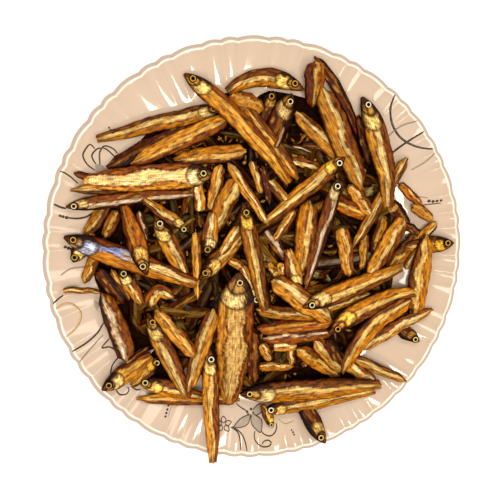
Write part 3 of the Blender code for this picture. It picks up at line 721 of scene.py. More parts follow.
def fish_surface(laid, kind, colouring, back, mesh, number):
    """One dried fish as rings along its laid line, with its shrunken relief and its colours.

    A point is the middle line + sideways (reach cos r - rise sin r) + up (reach sin r + rise cos r),
    for a slow roll r. The reach has nicked edges, and the ends are torn to a slant. A whole fish's
    rings stand closer together towards its head. Beside the colours it carries where each point
    lies on the skin in millimetres.
    """
    draw = np.random.default_rng(FISH_SEED + number)
    stations, top, under = mesh
    half, thick = laid[3:]
    t = np.linspace(0.0, 1.0, stations) ** (1.5 if kind == "whole" else 1.0)
    across, height, over = ring_shape(top, under)
    spine, sideways, keel = at_share(laid, t)
    length = span(laid)
    depth = body_depth(kind, t, length, half.max())
    thin = thick.max() * np.sqrt(depth / half.max())

    run = (t * length / MM)[:, None]
    a = across[None, :]
    b = a * back
    head = head_share(kind, t * length, length, half.max())[:, None]
    body = smooth_step(0.98, 1.15, head)
    skew = STRIPE_PLACE + draw.uniform(-0.2, 0.2) + 0.1 * slow_change(draw, t[:, None], 0.5)
    broad = SPLIT_STRIPE if kind == "split" else draw.uniform(0.7, 1.4)
    stripe_half = STRIPE_HALF * broad * (1.0 + 0.25 * slow_change(draw, t[:, None], 0.4))
    stripe_at = (b - skew) / stripe_half
    wide = a * depth[:, None] / MM
    relief = fish_relief(draw, kind, head, body, b, stripe_at, run, wide)
    size = min(1.0, thick.max() / FULL_RELIEF)
    ragged = 0.03 * ripple(draw, run, 3.0 * np.sign(a), *NICKS)
    ragged = ragged + 0.01 * ripple(draw, run, 5.0 * np.sign(a), *FINE_NICKS)

    roll = (draw.uniform(-ROLL, ROLL) + 0.12 * slow_change(draw, t, 0.9))[:, None]
    sway = SWAY * slow_change(draw, t, 0.6) * np.sin(math.pi * t)
    reach = a * depth[:, None] * (1.0 + np.minimum(body, 1.0) * ragged)
    rise = (height[None, :] - FLANK) * thin[:, None] + 0.9 * MM * size * relief * over[None, :]
    aside = reach * np.cos(roll) - rise * np.sin(roll) + sway[:, None]
    raised = reach * np.sin(roll) + rise * np.cos(roll)
    slant = draw.uniform(-2.0, 2.0) * a
    teeth = draw.uniform(3.0, 7.0) * a
    torn = -np.abs(slant + np.sin(teeth + draw.uniform(0.0, 6.0))) * MM
    front = smooth_step(0.07, 0.0, t) if kind == "strip" else 0.0
    torn = torn * (smooth_step(0.93, 1.0, t) - front)[:, None]
    forward = np.stack((sideways[:, 1], -sideways[:, 0]), axis=1)
    xy = spine[:, None] + sideways[:, None] * aside[..., None] + forward[:, None] * torn[..., None]
    z = pressed_in(keel[:, None] + FLANK * thin[:, None] + raised)
    points = np.concatenate((xy, z[..., None]), axis=-1)

    coat, shine = skin_colours(draw, colouring, head, t[:, None], b, stripe_at, run, wide, relief)
    lie = np.stack(np.broadcast_arrays(run, wide, SLICES_APART * number), axis=-1)
    return points, {"coat": coat, "shine": shine, "lie": lie}


def mixed(first, second, share):
    """The first colour turned towards the second by each share."""
    return first + (second - first) * share[..., None]


def body_colours(draw, colouring, t, b, stripe_at, run, wide, wander):
    """The body's colour and silveriness: back, stripe and belly side by side.

    The stripe is worn, cleared to the amber flesh and greyed in places. Burnt spots, CREASES fine
    creases, the grooves beside the stripe and the edges are dark.
    """
    back, stripe, belly, edge, _ = (linear(colour) for colour in COLOURS[colouring])
    faded = 0.75 * draw.random() ** 3
    on_back = smooth_step(0.85, 1.05, stripe_at + wander)
    on_belly = smooth_step(0.85, 1.05, -stripe_at - wander)
    ones = np.ones(b.shape)[..., None] * np.ones(run.shape)[..., None]
    if colouring == "blue":
        paled = smooth_step(0.35, 0.6, t * np.ones(b.shape))
        stripe = mixed(stripe * ones, linear(COLOURS["cream"][1]), paled)
    deep = smooth_step(-0.4, 1.2, ripple(draw, run, wide, *DEEP_TONE))
    stripe = mixed(stripe * ones, belly, faded * ones[..., 0])
    coat = mixed(stripe, mixed(back * ones, edge, 0.6 * deep), on_back)
    coat = mixed(coat, mixed(belly * ones, back, 0.55 * deep), on_belly)
    shine = (1.0 - on_back) * (1.0 - on_belly)
    worn = smooth_step(0.6, 1.3, ripple(draw, run, wide, *WORN_SKIN)) * (1.0 - 0.7 * on_back)
    coat = mixed(coat, linear(WORN), 0.5 * worn)
    clear = smooth_step(0.35, 1.2, ripple(draw, run, wide, *CLEAR_SKIN)) * shine
    coat = mixed(coat, mixed(belly * ones, back, 0.35 * deep), 0.6 * clear)
    grey = smooth_step(0.2, 1.2, ripple(draw, run, wide, *GREY_SKIN)) * shine
    coat = mixed(coat, linear(GREYED), 0.45 * grey)
    burnt = smooth_step(0.7, 1.5, ripple(draw, run, wide, *BURNT_SKIN)) * (1.0 - 0.5 * shine)
    coat = mixed(coat, edge, 0.7 * burnt)
    for lane in draw.uniform(-0.8, 0.8, CREASES):
        creased = smooth_step(0.0, 0.8, ripple(draw, run, wide, *CREASE))
        coat = mixed(coat, edge, 0.6 * creased * bump_at(b + 0.4 * wander, lane, 0.045))
    coat = mixed(coat, edge, 0.6 * bump_at(np.abs(stripe_at + wander), 1.05, 0.14))
    coat = mixed(coat, edge, 0.85 * smooth_step(0.8, 1.0, np.abs(b) + 0.3 * wander))
    return mixed(coat, back, 0.5 * smooth_step(0.88, 1.0, t)), shine


def face_colours(draw, cheek, head, b, wander):
    """The head's colour, its silveriness and where it is: a folded, shining cheek under a dark brow, with
    painted highlight and shade in bands across the folds of its gill cover.

    The snout is dark too, and the gill's two seams and the jaw are dark lines.
    """
    gill = head + GILL_BOW * b ** 2
    whole = np.ones(gill.shape)
    brow = smooth_step(0.2, 0.6, b + wander)
    face = mixed(linear(cheek) * whole[..., None], linear(BONE), draw.uniform(0.0, 0.7) * whole)
    # Painted highlight and shade: the face is brightened and darkened in bands across the gill cover's folds
    plates = np.abs(np.sin(math.pi * (3.2 * gill + 0.9 * b + 4.0 * wander)))
    face = face * (0.3 + 0.9 * plates ** 0.7)[..., None]
    face = mixed(face, linear(GILL_GOLD), 0.6 * (1.0 - smooth_step(0.5, 0.62, gill)))
    face = mixed(face, linear(BURNT), 0.94 * brow)
    snout = 1.0 - smooth_step(0.12, 0.4, head + wander)
    face = mixed(face, linear(SNOUT), 0.85 * snout)
    face = mixed(face, linear(BURNT), 0.8 * smooth_step(0.62, 0.95, np.abs(b)))
    jaw = bump_at(b + 0.4 * head, -0.2, 0.09) * (1.0 - smooth_step(0.5, 0.62, head))
    seam = bump_at(gill, 0.57, 0.05) + bump_at(gill, 1.03, 0.07) + jaw
    face = mixed(face, linear(SEAM), 0.9 * np.minimum(1.0, seam))
    return face, (1.0 - snout) * (1.0 - brow) * 0.35, 1.0 - smooth_step(1.0, 1.06, gill)


def skin_colours(draw, colouring, head, t, b, stripe_at, run, wide, relief):
    """The skin's colour and silveriness: the body's, the face's on the head, with painted shade in the
    hollows.
    """
    tint = draw.uniform(0.85, 1.15)
    wander = 0.08 * ripple(draw, run, wide, *WANDER)
    coat, shine = body_colours(draw, colouring, t, b, stripe_at, run, wide, wander)
    *_, cheek = COLOURS[colouring]
    face, bright, on_head = face_colours(draw, cheek, head, b, wander)
    coat = mixed(coat, face, on_head)
    shine = shine * (1.0 - on_head) + on_head * bright
    # Painted shade: the coat is darkened by up to 65 % where the relief sinks below the skin
    hollow_shade = smooth_step(0.0, -0.5, relief) * 0.65
    coat = coat * (1.0 - hollow_shade)[..., None]
    return coat ** np.array(OIL_DEPTH) * (OIL_SHADE * tint), shine


def upper_point(laid, kind, t, a, lift):
    """A point on a laid fish's upper face, raised by lift, and the directions along and across there."""
    half, thick = laid[3:]
    spot, across, keel = at_share(laid, t)
    depth = body_depth(kind, np.array([t]), span(laid), half.max())[0]
    thin = thick.max() * math.sqrt(depth / half.max())
    xy = spot + across * depth * a
    z = keel + crown(a) * thin + lift
    return np.array((xy[0], xy[1], z)), np.array((across[1], -across[0])), across


def dome(centre, along, across, radius_along, radius_across, height, rings, around):
    """A closed cap: height (1 - r^2)^0.5 over an ellipse, on a shallow underside. Also gives each r."""
    r = np.concatenate((np.linspace(0.06, 1.0, rings), (0.6, 0.06)))
    z = np.concatenate((height * (1.0 - r[:rings] ** 2) ** 0.5, (-0.3 * height, -0.35 * height)))
    angle = np.linspace(0.0, 2.0 * math.pi, around, endpoint=False)
    u = r[:, None] * radius_along * np.cos(angle)[None, :]
    v = r[:, None] * radius_across * np.sin(angle)[None, :]
    xy = centre[:2] + u[..., None] * along + v[..., None] * across
    points = np.concatenate((xy, (centre[2] + z[:, None] + 0.0 * u)[..., None]), axis=-1)
    return points, r[:, None] * np.ones(around)


def build_fish(heap):
    """Every fish, as one batch for each kind, with their eyes and the scraps between them."""
    shown = {kind: Batch() for kind in ("whole", "strip", "split")}
    meshes = {"whole": WHOLE_MESH, "strip": STRIP_MESH, "split": SPLIT_MESH}
    buried, eyes = Batch(), Batch()
    draw = np.random.default_rng(HEAP_SEED)
    tones = list(COLOURS)
    for number, filler in enumerate(lay_fillers(heap)):
        made = fish_surface(filler, "whole", tones[draw.integers(5)], 1, BURIED_MESH, FILLER_MARKS + number)
        buried.add(*shaded(draw, made))
    level = smoothed(heap.height, SMOOTHING)
    for number in range(BURIED_FISH):
        laid = sunken_fish(draw, level)
        tone = BURIED_TONES[draw.integers(len(BURIED_TONES))]
        made = fish_surface(laid, "strip", tone, 1, BURIED_MESH, BURIED_MARKS + number)
        buried.add(*shaded(draw, made))
    for number, row in enumerate(FISH):
        laid = lay_fish(heap, row)
        kind, colouring, back = row[0], row[7], row[8]
        shown[kind].add(*fish_surface(laid, kind, colouring, back, meshes[kind], number))
        if kind in HEAD_LENGTHS:
            add_eye(eyes, laid, kind, back, draw)
    return shown, buried, eyes, scatter_scraps(heap, level, draw), heap_middle(heap, level)


def shaded(draw, made):
    """The same fish, darkened with painted shade: most of the ones at the bottom nearly black, a few less.
    """
    points, attributes = made
    light = BOTTOM_SHADE + MIDDLE_SHADE * draw.random() ** 2
    return points, {**attributes, "coat": attributes["coat"] * light}


def any_way(draw):
    """A direction along the plate, at random."""
    turn = draw.uniform(0.0, 2.0 * math.pi)
    return np.array((math.cos(turn), math.sin(turn)))


def sunken_fish(draw, level):
    """A fish that follows the top of the hidden mound, half sunk in it."""
    reach = (CORE_RADIUS - 8.0 * MM) * math.sqrt(draw.random())
    middle = reach * any_way(draw)
    way = any_way(draw)
    way = way * draw.uniform(*BURIED_LENGTH) * 0.5
    along = np.linspace(0.0, 1.0, STATIONS)
    line, side, _ = centre_line(middle - way, middle + way, draw.uniform(-5.0, 5.0) * MM, along)
    far = np.linalg.norm(line, axis=1)
    line = line * np.minimum(1.0, (CORE_RADIUS - 3.0 * MM) / far)[:, None]
    half = draw.uniform(*BURIED_HALF) * profile("strip", along)
    thick = draw.uniform(*BURIED_THICKNESS) * np.sqrt(profile("strip", along))
    base = np.maximum(sampled(level, line) - draw.uniform(*BURIED_SINK), WELL_HEIGHT + 0.5 * MM)
    base = np.convolve(np.pad(base, 3, mode="edge"), np.ones(7) / 7.0, mode="valid")
    return line, side, base, half, thick


def add_eye(eyes, laid, kind, back, draw):
    """A fish's eye: a dome of up to 5.2 mm across with its dark rim, 6 mm behind the tip of the snout."""
    length, half = span(laid), laid[3].max()
    head = min(HEAD_LENGTHS[kind] * half, LONGEST_HEAD * length)
    radius = min(EYE_RADIUS, 0.52 * half)
    behind = min(EYE_REACH, 0.36 * head) / length
    spot, along, across = upper_point(laid, kind, behind, 0.12 * back, 0.1 * MM)
    spot[2] = min(spot[2], cad_high[2] - HAIR - EYE_HEIGHT - 0.1 * MM)
    points, ring = dome(spot, along, across, radius, radius, EYE_HEIGHT, 12, 24)
    iris = linear(IRISES[draw.integers(len(IRISES))])
    eyes.add(points, {"ring": ring, "iris": iris * np.ones(ring.shape)[..., None]})


def scatter_scraps(heap, level, draw):
    """Flakes of skin and fin, 2 to 6.8 mm long, that lie in the gaps of the heap."""
    scraps = Batch()
    low = heap.height - level < 1.5 * MM
    gaps = np.argwhere(low & (np.hypot(heap.x, heap.y) < CORE_RADIUS - 6.0 * MM))
    for _ in range(SCRAPS):
        row, column = gaps[draw.integers(len(gaps))]
        along = any_way(draw)
        across = np.array((-along[1], along[0]))
        height = level[row, column] - draw.uniform(0.2, 1.6) * MM
        spot = np.array((heap.x[row, column], heap.y[row, column], height))
        half_length, half_width = draw.uniform(1.0, 3.4) * MM, draw.uniform(0.5, 1.3) * MM
        points, ring = dome(spot, along, across, half_length, half_width, draw.uniform(0.5, 1.4) * MM, 4, 8)
        tone = linear(SCRAP_TONES[draw.integers(len(SCRAP_TONES))])
        coat = tone * (0.6 + 0.4 * ring)[..., None]
        scraps.add(points, {"coat": coat, "shine": 0.0 * ring, "lie": points / MM})
    return scraps


def heap_middle(heap, level):
    """The dark hidden middle: broken bits under the lowest fish, out to the heap's uneven edge. Its
    near-black is partly painted shade.

    It follows the smoothed heap, SUNK_MIDDLE under it and roughened, and falls to the plate at the
    edge with the twelfth power of the share of the way out. SPREADS push its edge outwards.
    """
    draw = np.random.default_rng(MOUND_SEED)
    rings, around = MIDDLE_MESH
    share = np.linspace(0.02, 1.0, rings)
    angle = -2.0 * math.pi * np.arange(around) / around
    least = CORE_RADIUS - 2.0 * MM
    reach = np.array([min(CORE_REACH, max(least, heap.covered_reach(turn))) for turn in angle])
    reach = np.min([np.roll(reach, shift) for shift in (-2, -1, 0, 1, 2)], axis=0) - 2.0 * MM
    for turn, half, far in SPREADS:
        off = (np.degrees(angle) - turn + 180.0) % 360.0 - 180.0
        reach = reach + np.maximum(far - reach, 0.0) * (1.0 - smooth_step(0.5 * half, half, np.abs(off)))
    radius = share[:, None] * reach
    xy = np.stack((radius * np.cos(angle), radius * np.sin(angle)), axis=-1)
    rough = ripple(draw, xy[..., 0] / MM, xy[..., 1] / MM, *CRUMBLE)
    low = plate_top(radius) + 0.4 * MM
    z = np.maximum(sampled(level, xy) - SUNK_MIDDLE + 0.7 * MM * rough, low + 1.5 * MM)
    z = z + (low - z) * share[:, None] ** 12
    top = np.concatenate((xy, z[..., None]), axis=-1)
    under = np.concatenate((xy[::-8], (low[::-8] - 0.2 * MM)[..., None]), axis=-1)
    middle = Batch()
    middle.add(np.concatenate((top, under)), {})
    return middle


# The plate

def lobe_ridge(angle):
    """How near each angle is to a notch of the edge: 1 - |sin(pi s)| over each lobe, 1 at a notch."""
    turns = (np.degrees(angle) - FIRST_NOTCH) % (360.0 / LOBE_GROUPS)
    starts = np.concatenate(([0.0], np.cumsum(LOBE_ANGLES)))
    lobe = np.clip(np.searchsorted(starts, turns, side="right") - 1, 0, len(LOBE_ANGLES) - 1)
    share = (turns - starts[lobe]) / np.array(LOBE_ANGLES)[lobe]
    return 1.0 - np.sin(math.pi * share)


def curve_through(stops, steps):
    """A Catmull-Rom curve through these places, with this many steps on each stretch."""
    stops = np.asarray(stops, dtype=float)
    before = np.concatenate((stops[:1], stops[:-1]))
    after = np.concatenate((stops[2:], stops[-1:], stops[-1:]))
    share = np.linspace(0.0, 1.0, steps, endpoint=False)[:, None, None]
    here, there = stops[:-1], stops[1:]
    before, after = before[:-1], after[:-1]
    curve = 0.5 * (2.0 * here + (there - before) * share
                   + (2.0 * before - 5.0 * here + 4.0 * there - after) * share ** 2
                   + (3.0 * here - before - 3.0 * there + after) * share ** 3)
    return np.concatenate((curve.transpose(1, 0, 2).reshape(-1, stops.shape[1]), stops[-1:]))


def plate_path():
    """The plate's turned section in metres, from the well's middle over the lip to the foot ring."""
    runs = zip((WELL_AND_WALL, LIP, UNDERSIDE, FOOT_RING), SECTION_STEPS)
    curves = [curve_through(stops, steps) for stops, steps in runs]
    return np.concatenate([curve[:-1] for curve in curves[:-1]] + curves[-1:]) * MM


def flute_share(radius):
    """How much of the flutes' full relief the wall has at this radius: 0 at its foot, 1 at the edge."""
    return np.clip((radius - FLUTE_START + FLUTE_LEAD) / (RIM_RADIUS - FLUTE_START), 0.0, 1.0)


def plate_surface(material):
    """The plate: its section turned round, with sharp-edged flutes that rise out of the wall.

    Each point's radius falls by NOTCH_DEPTH and its height grows by FLUTE_RELIEF at a notch, times
    its flute share. Past the crest the relief falls to LIP_RELIEF of that. It carries a painted
    highlight along the crest and painted shade on the rim outside it.
    """
    path = plate_path()
    steps = STEPS_A_GROUP * LOBE_GROUPS
    angle = math.radians(FIRST_NOTCH) + 2.0 * math.pi * np.arange(steps) / steps
    ridge = lobe_ridge(angle + 1e-6)
    share = flute_share(path[:, 0])[:, None]
    radius = path[:, :1] - NOTCH_DEPTH * ridge * share
    flattened = np.interp(path[:, 0], (LIP_START, LIP_END), (1.0, LIP_RELIEF))[:, None]
    height = path[:, 1:] + FLUTE_RELIEF * ridge * share * flattened
    points = np.stack((radius * np.cos(angle), radius * np.sin(angle), height), axis=-1)
    from_crest = (path[:, :1] - CREST_RADIUS) * np.ones(steps) / MM
    upper_side = (path[:, 1:] > 0.5 * RIM_HEIGHT) * np.ones(steps)
    # Masks for the painted highlight along the crest and the painted shade on the rim beyond it
    crest = bump_at(from_crest, 0.0, CREST_HALF) * upper_side
    outer_rim_shade = smooth_step(0.2, 1.2, from_crest) * upper_side
    whole = Batch()
    whole.add(points, {"crest": crest, "outer_rim_shade": outer_rim_shade})
    return whole.piece("plate_glaze", material)


def plate_height(radius, ridge):
    """The height of the plate's upper side, for the print that lies on it."""
    path = plate_path()
    top = path[:np.argmax(path[:, 1]) + 1]
    share = flute_share(radius)
    level = np.interp(radius + NOTCH_DEPTH * ridge * share, top[:, 0], top[:, 1])
    return level + FLUTE_RELIEF * ridge * share


# The printed sprigs: each stroke is a run of pixels, its width in millimetres and its ink
STROKES = (
    (((395, 95), (391, 105), (390.5, 115), (393, 126), (400, 137), (410, 144), (422, 148), (433, 149)),
     1.3, "ink"),
    (((424, 131.5), (407, 142), (394, 151.5), (391, 157)), 1.3, "ink"),
    (((417, 121), (403, 125), (394, 131), (388, 136.5)), 1.0, "grey"),
    (((435, 153), (425, 162), (411, 170)), 0.9, "grey"),
    (((404, 192), (415, 196), (428, 198)), 0.7, "grey"),
    (((423, 205), (432, 204), (441, 203)), 0.7, "ink"),
    (((95, 149), (90, 144.5), (85, 150), (83, 156), (87, 164), (95, 170.5)), 0.9, "ink"),
    (((103, 148), (97, 149), (92, 155), (93.5, 160.5), (96, 164)), 0.9, "ink"),
    (((102, 148), (99.5, 153.5), (100, 164.5)), 0.9, "ink"),
    (((102, 147.5), (107.5, 150), (114.5, 156.5)), 0.9, "ink"),
    (((102, 147), (106.5, 146), (113.5, 149), (117.5, 153.5)), 0.9, "ink"),
    (((60, 171.4), (64.5, 172.8), (71.6, 177.7), (77.9, 183.5)), 0.9, "ink"),
    (((54, 204), (60, 207), (66, 208.5)), 1.2, "ink"),
    (((67, 217.7), (78, 218.5), (87, 216.5), (92, 213)), 1.2, "ink"),
    (((60.5, 275.5), (69, 269.5), (77, 267.5), (87, 267)), 0.9, "grey"),
    (((53, 304), (58, 299), (63.3, 295.3)), 1.0, "ink"),
    (((56, 309), (62, 304.5), (70, 303.5), (78, 308.6), (81, 316.6), (76, 328), (66, 337)), 1.2, "gold"),
    (((72.5, 351.4), (86.8, 342.5), (97.5, 332.7), (103.3, 323)), 1.2, "ink"),
    (((79.6, 362), (90.4, 348.8), (103, 335)), 0.9, "grey"),
    (((109.5, 338.5), (102, 347.5), (110, 347), (117, 352)), 0.9, "ink"),
    (((110.5, 374), (112, 366), (116, 360), (119.5, 357)), 0.9, "ink"),
    (((116, 390), (120, 394.5), (126, 394), (129, 390), (127.5, 387)), 0.9, "ink"),
    (((131, 386), (136, 389.5), (141, 389.5)), 0.9, "ink"),
    (((172, 405), (168, 417)), 0.5, "grey"),
    (((250, 414), (241.8, 417.8), (236.2, 423.4), (234.5, 427), (241.8, 427), (248, 423.4), (250.2, 415)),
     0.8, "ink"),
    (((250.5, 414), (251.6, 423.4), (255.8, 429), (260.4, 432), (262, 424.8), (260.7, 418.5), (253, 413.6)),
     0.8, "ink"),
    (((252.8, 410), (256.3, 405.8), (260.5, 403.7), (263.3, 409.3), (258.4, 414.2), (254.2, 414.2)),
     0.8, "ink"),
    (((247, 411), (240.4, 407), (236, 403)), 0.8, "ink"),
    (((223.5, 423), (225.9, 420), (223.5, 416.2), (221.1, 420), (223.5, 423)), 0.6, "ink"),
    (((224.9, 424), (228.6, 425.4), (231.3, 421.7), (227.2, 420.6), (224.9, 424)), 0.6, "ink"),
    (((224.5, 425.7), (224.6, 429.5), (228.8, 431), (228.3, 426.4), (224.5, 425.7)), 0.6, "ink"),
    (((222.5, 425.7), (222.4, 429.5), (218.2, 431), (218.7, 426.4), (222.5, 425.7)), 0.6, "ink"),
    (((222.1, 424), (218.4, 425.4), (215.7, 421.7), (219.8, 420.6), (222.1, 424)), 0.6, "ink"),
    (((230.6, 427), (237.6, 432), (240, 440), (240.7, 450)), 0.8, "ink"),
    (((232, 426.2), (241, 433), (245.2, 442), (247, 451)), 0.8, "ink"),
    (((254.8, 431), (254.3, 437), (256.8, 442.7), (262.7, 446.6), (269, 446), (271, 442.6), (268.3, 440.2),
      (264, 441.3), (262, 444.4)), 0.8, "ink"),
    (((261, 430.7), (264, 434), (269.7, 436), (274.6, 432.8), (276.6, 427.5), (276.2, 423)), 0.8, "ink"),
    (((278.5, 418.8), (285, 424), (291.5, 422), (294.5, 420)), 0.8, "gold"),
)
# The filled leaves and petals, each as its two sides from the base to the tip
LEAVES = (
    (((95.7, 164), (95.3, 170.5), (96.2, 175), (106.4, 169.5)),
     ((95.7, 164), (100, 164.7), (104.6, 167.4), (106.4, 169.5))),
    (((94, 300), (94.5, 306), (97, 311)), ((94, 300), (99, 304), (97, 311))),
    (((250, 414), (241.8, 417.8), (236.2, 423.4), (234.5, 427)),
     ((250, 414), (248, 423.4), (241.8, 427), (234.5, 427))),
    (((250.5, 414), (251.6, 423.4), (255.8, 429), (260.4, 432)),
     ((250.5, 414), (260.7, 418.5), (262, 424.8), (260.4, 432))),
    (((253, 412), (256.3, 405.8), (260.5, 403.7), (263.3, 409.3)),
     ((253, 412), (254.2, 414.2), (258.4, 414.2), (263.3, 409.3))),
)
# The dots: the pixel of each and its radius in millimetres
DOTS = (
    (109, 127.7, 0.55), (110.4, 129.8, 0.6), (111.6, 132, 0.65),
    (60, 215.7, 0.8), (63, 216.6, 0.9), (66.6, 217.6, 1.0),
    (65.2, 247, 0.9), (68.5, 248.2, 1.0), (71.6, 249.2, 0.9), (168.4, 405.5, 0.7), (167.4, 409.5, 0.75),
    (166.4, 413, 0.75), (165.5, 416.5, 0.7), (247.2, 411.8, 0.9), (251, 409, 0.9), (253.4, 412.6, 0.9),
    (251.4, 415.8, 0.9), (248.3, 414.8, 0.9), (291.7, 430, 0.55), (293, 432.2, 0.6), (294, 434.6, 0.6),
    (429, 201, 1.0), (433, 201.5, 1.0), (437, 201, 0.9), (441, 200.5, 0.8),
)


def on_plate(u, v):
    """The places on the plate's upper side that the photograph shows at pixels (u, v), from above.

    Each height is moved half way to the plate's own height under it, until the two agree.
    """
    height = 12.0 * MM + 0.0 * u
    for _ in range(SIGHT_PASSES):
        spot = place(u, v, height)
        ridge = lobe_ridge(np.arctan2(spot[..., 1], spot[..., 0]))
        height = 0.5 * height + 0.5 * plate_height(np.hypot(spot[..., 0], spot[..., 1]), ridge)
    return spot[..., :2]


def between_sides(first, second, steps):
    """A thin lens of ink between two lines on the plate: (1 - s) first + s second, laid on the glaze."""
    share = np.linspace(0.0, 1.0, steps)
    share = np.concatenate((share, (0.5,)))
    lift = PRINT_LIFT * 4.0 * share * (1.0 - share)
    lift[-1] = -4.0 * PRINT_LIFT
    xy = first[:, None, :] + (second - first)[:, None, :] * share[None, :, None]
    ridge = lobe_ridge(np.arctan2(xy[..., 1], xy[..., 0]))
    z = plate_height(np.hypot(xy[..., 0], xy[..., 1]), ridge) + lift + PRINT_LIFT
    return np.concatenate((xy, z[..., None]), axis=-1)


def spots_on_plate(pixels, steps):
    """A smooth curve through the pixels, as places on the plate."""
    return on_plate(*curve_through(pixels, steps).T)


def stroke_points(pixels, width):
    """A flat ribbon along a smooth curve through the pixels, a little finer towards both ends."""
    centre = spots_on_plate(pixels, 8)
    way = np.gradient(centre, axis=0)
    way /= np.maximum(np.linalg.norm(way, axis=1), 1e-9)[:, None]
    across = np.stack((-way[:, 1], way[:, 0]), axis=1)
    share = np.linspace(0.0, 1.0, len(centre))
    half = 0.5 * width * MM * (0.5 + 0.5 * np.sin(math.pi * share) ** 0.3)
    return between_sides(centre - across * half[:, None], centre + across * half[:, None], 3)


def leaf_points(first, second):
    """A filled petal between its two sides, drawn a hair apart at the base and the tip."""
    sides = [spots_on_plate(side, 8) for side in (first, second)]
    middle = 0.5 * (sides[0] + sides[1])
    way = np.gradient(middle, axis=0)
    way /= np.maximum(np.linalg.norm(way, axis=1), 1e-9)[:, None]
    across = np.stack((-way[:, 1], way[:, 0]), axis=1) * 0.05 * MM
    turn = np.sign(np.sum((sides[1] - sides[0]) * across))
    return between_sides(sides[0] - turn * across, sides[1] + turn * across, 11)


def dot_points(u, v, radius):
    """A round dot on the slope, between its left half circle and its right one."""
    turn = np.linspace(0.05 * math.pi, 0.95 * math.pi, 9)
    up = radius * np.cos(turn)
    across = radius * np.sin(turn)
    spot = on_plate(np.array(u), np.array(v))
    left, right = (spot + np.stack((way * across, up), axis=1) for way in (-1.0, 1.0))
    return between_sides(left, right, 7)


def add_print(inks):
    """The thin printed lines, leaves and dots, each a lens of ink up to 0.2 mm proud of the glaze."""
    batches = {tone: Batch() for tone in inks}
    for pixels, width, tone in STROKES:
        batches[tone].add(stroke_points(pixels, width), {})
    for first, second in LEAVES:
        batches["leaf"].add(leaf_points(first, second), {})
    for u, v, radius in DOTS:
        batches["ink"].add(dot_points(u, v, radius * MM), {})
    return [batch.piece(f"print_{tone}", inks[tone]) for tone, batch in batches.items()]


# Materials

# The sizes of the patterns in millimetres: the skin's streaks and specks, along the fish and across it,
# its muscle rings and its mottle, the glaze's clouds, the ink's grain, drawn coarser than it is so that
# it shows, and the crumbs of the heap's middle. A wave texture turns 20 radians for each unit
STREAK = (11.1, 0.83)
SPECK = (0.91, 0.5)
RING_PITCH = 1.013
WAVE_TURN = 2.0 * math.pi / 20.0
MOTTLE = 4.0
CLOUD = 71.4
INK_GRAIN = 1.11
CRUMB = 2.38


def add(tree, kind, settings=None, links=None):
    """Add a node, set its named settings and sockets, and link its sockets to the outputs given."""
    made = tree.nodes.new(kind)
    for key, value in (settings or {}).items():
        if isinstance(key, str) and hasattr(made, key):
            setattr(made, key, value)
        else:
            made.inputs[key].default_value = value
    for key, output in (links or {}).items():
        tree.links.new(output, made.inputs[key])
    return made


def new_material(name):
    """An empty material, its node tree and its output node."""
    made = bpy.data.materials.new(name)
    made.use_nodes = True
    tree = made.node_tree
    tree.nodes.clear()
    return made, tree, tree.nodes.new("ShaderNodeOutputMaterial")


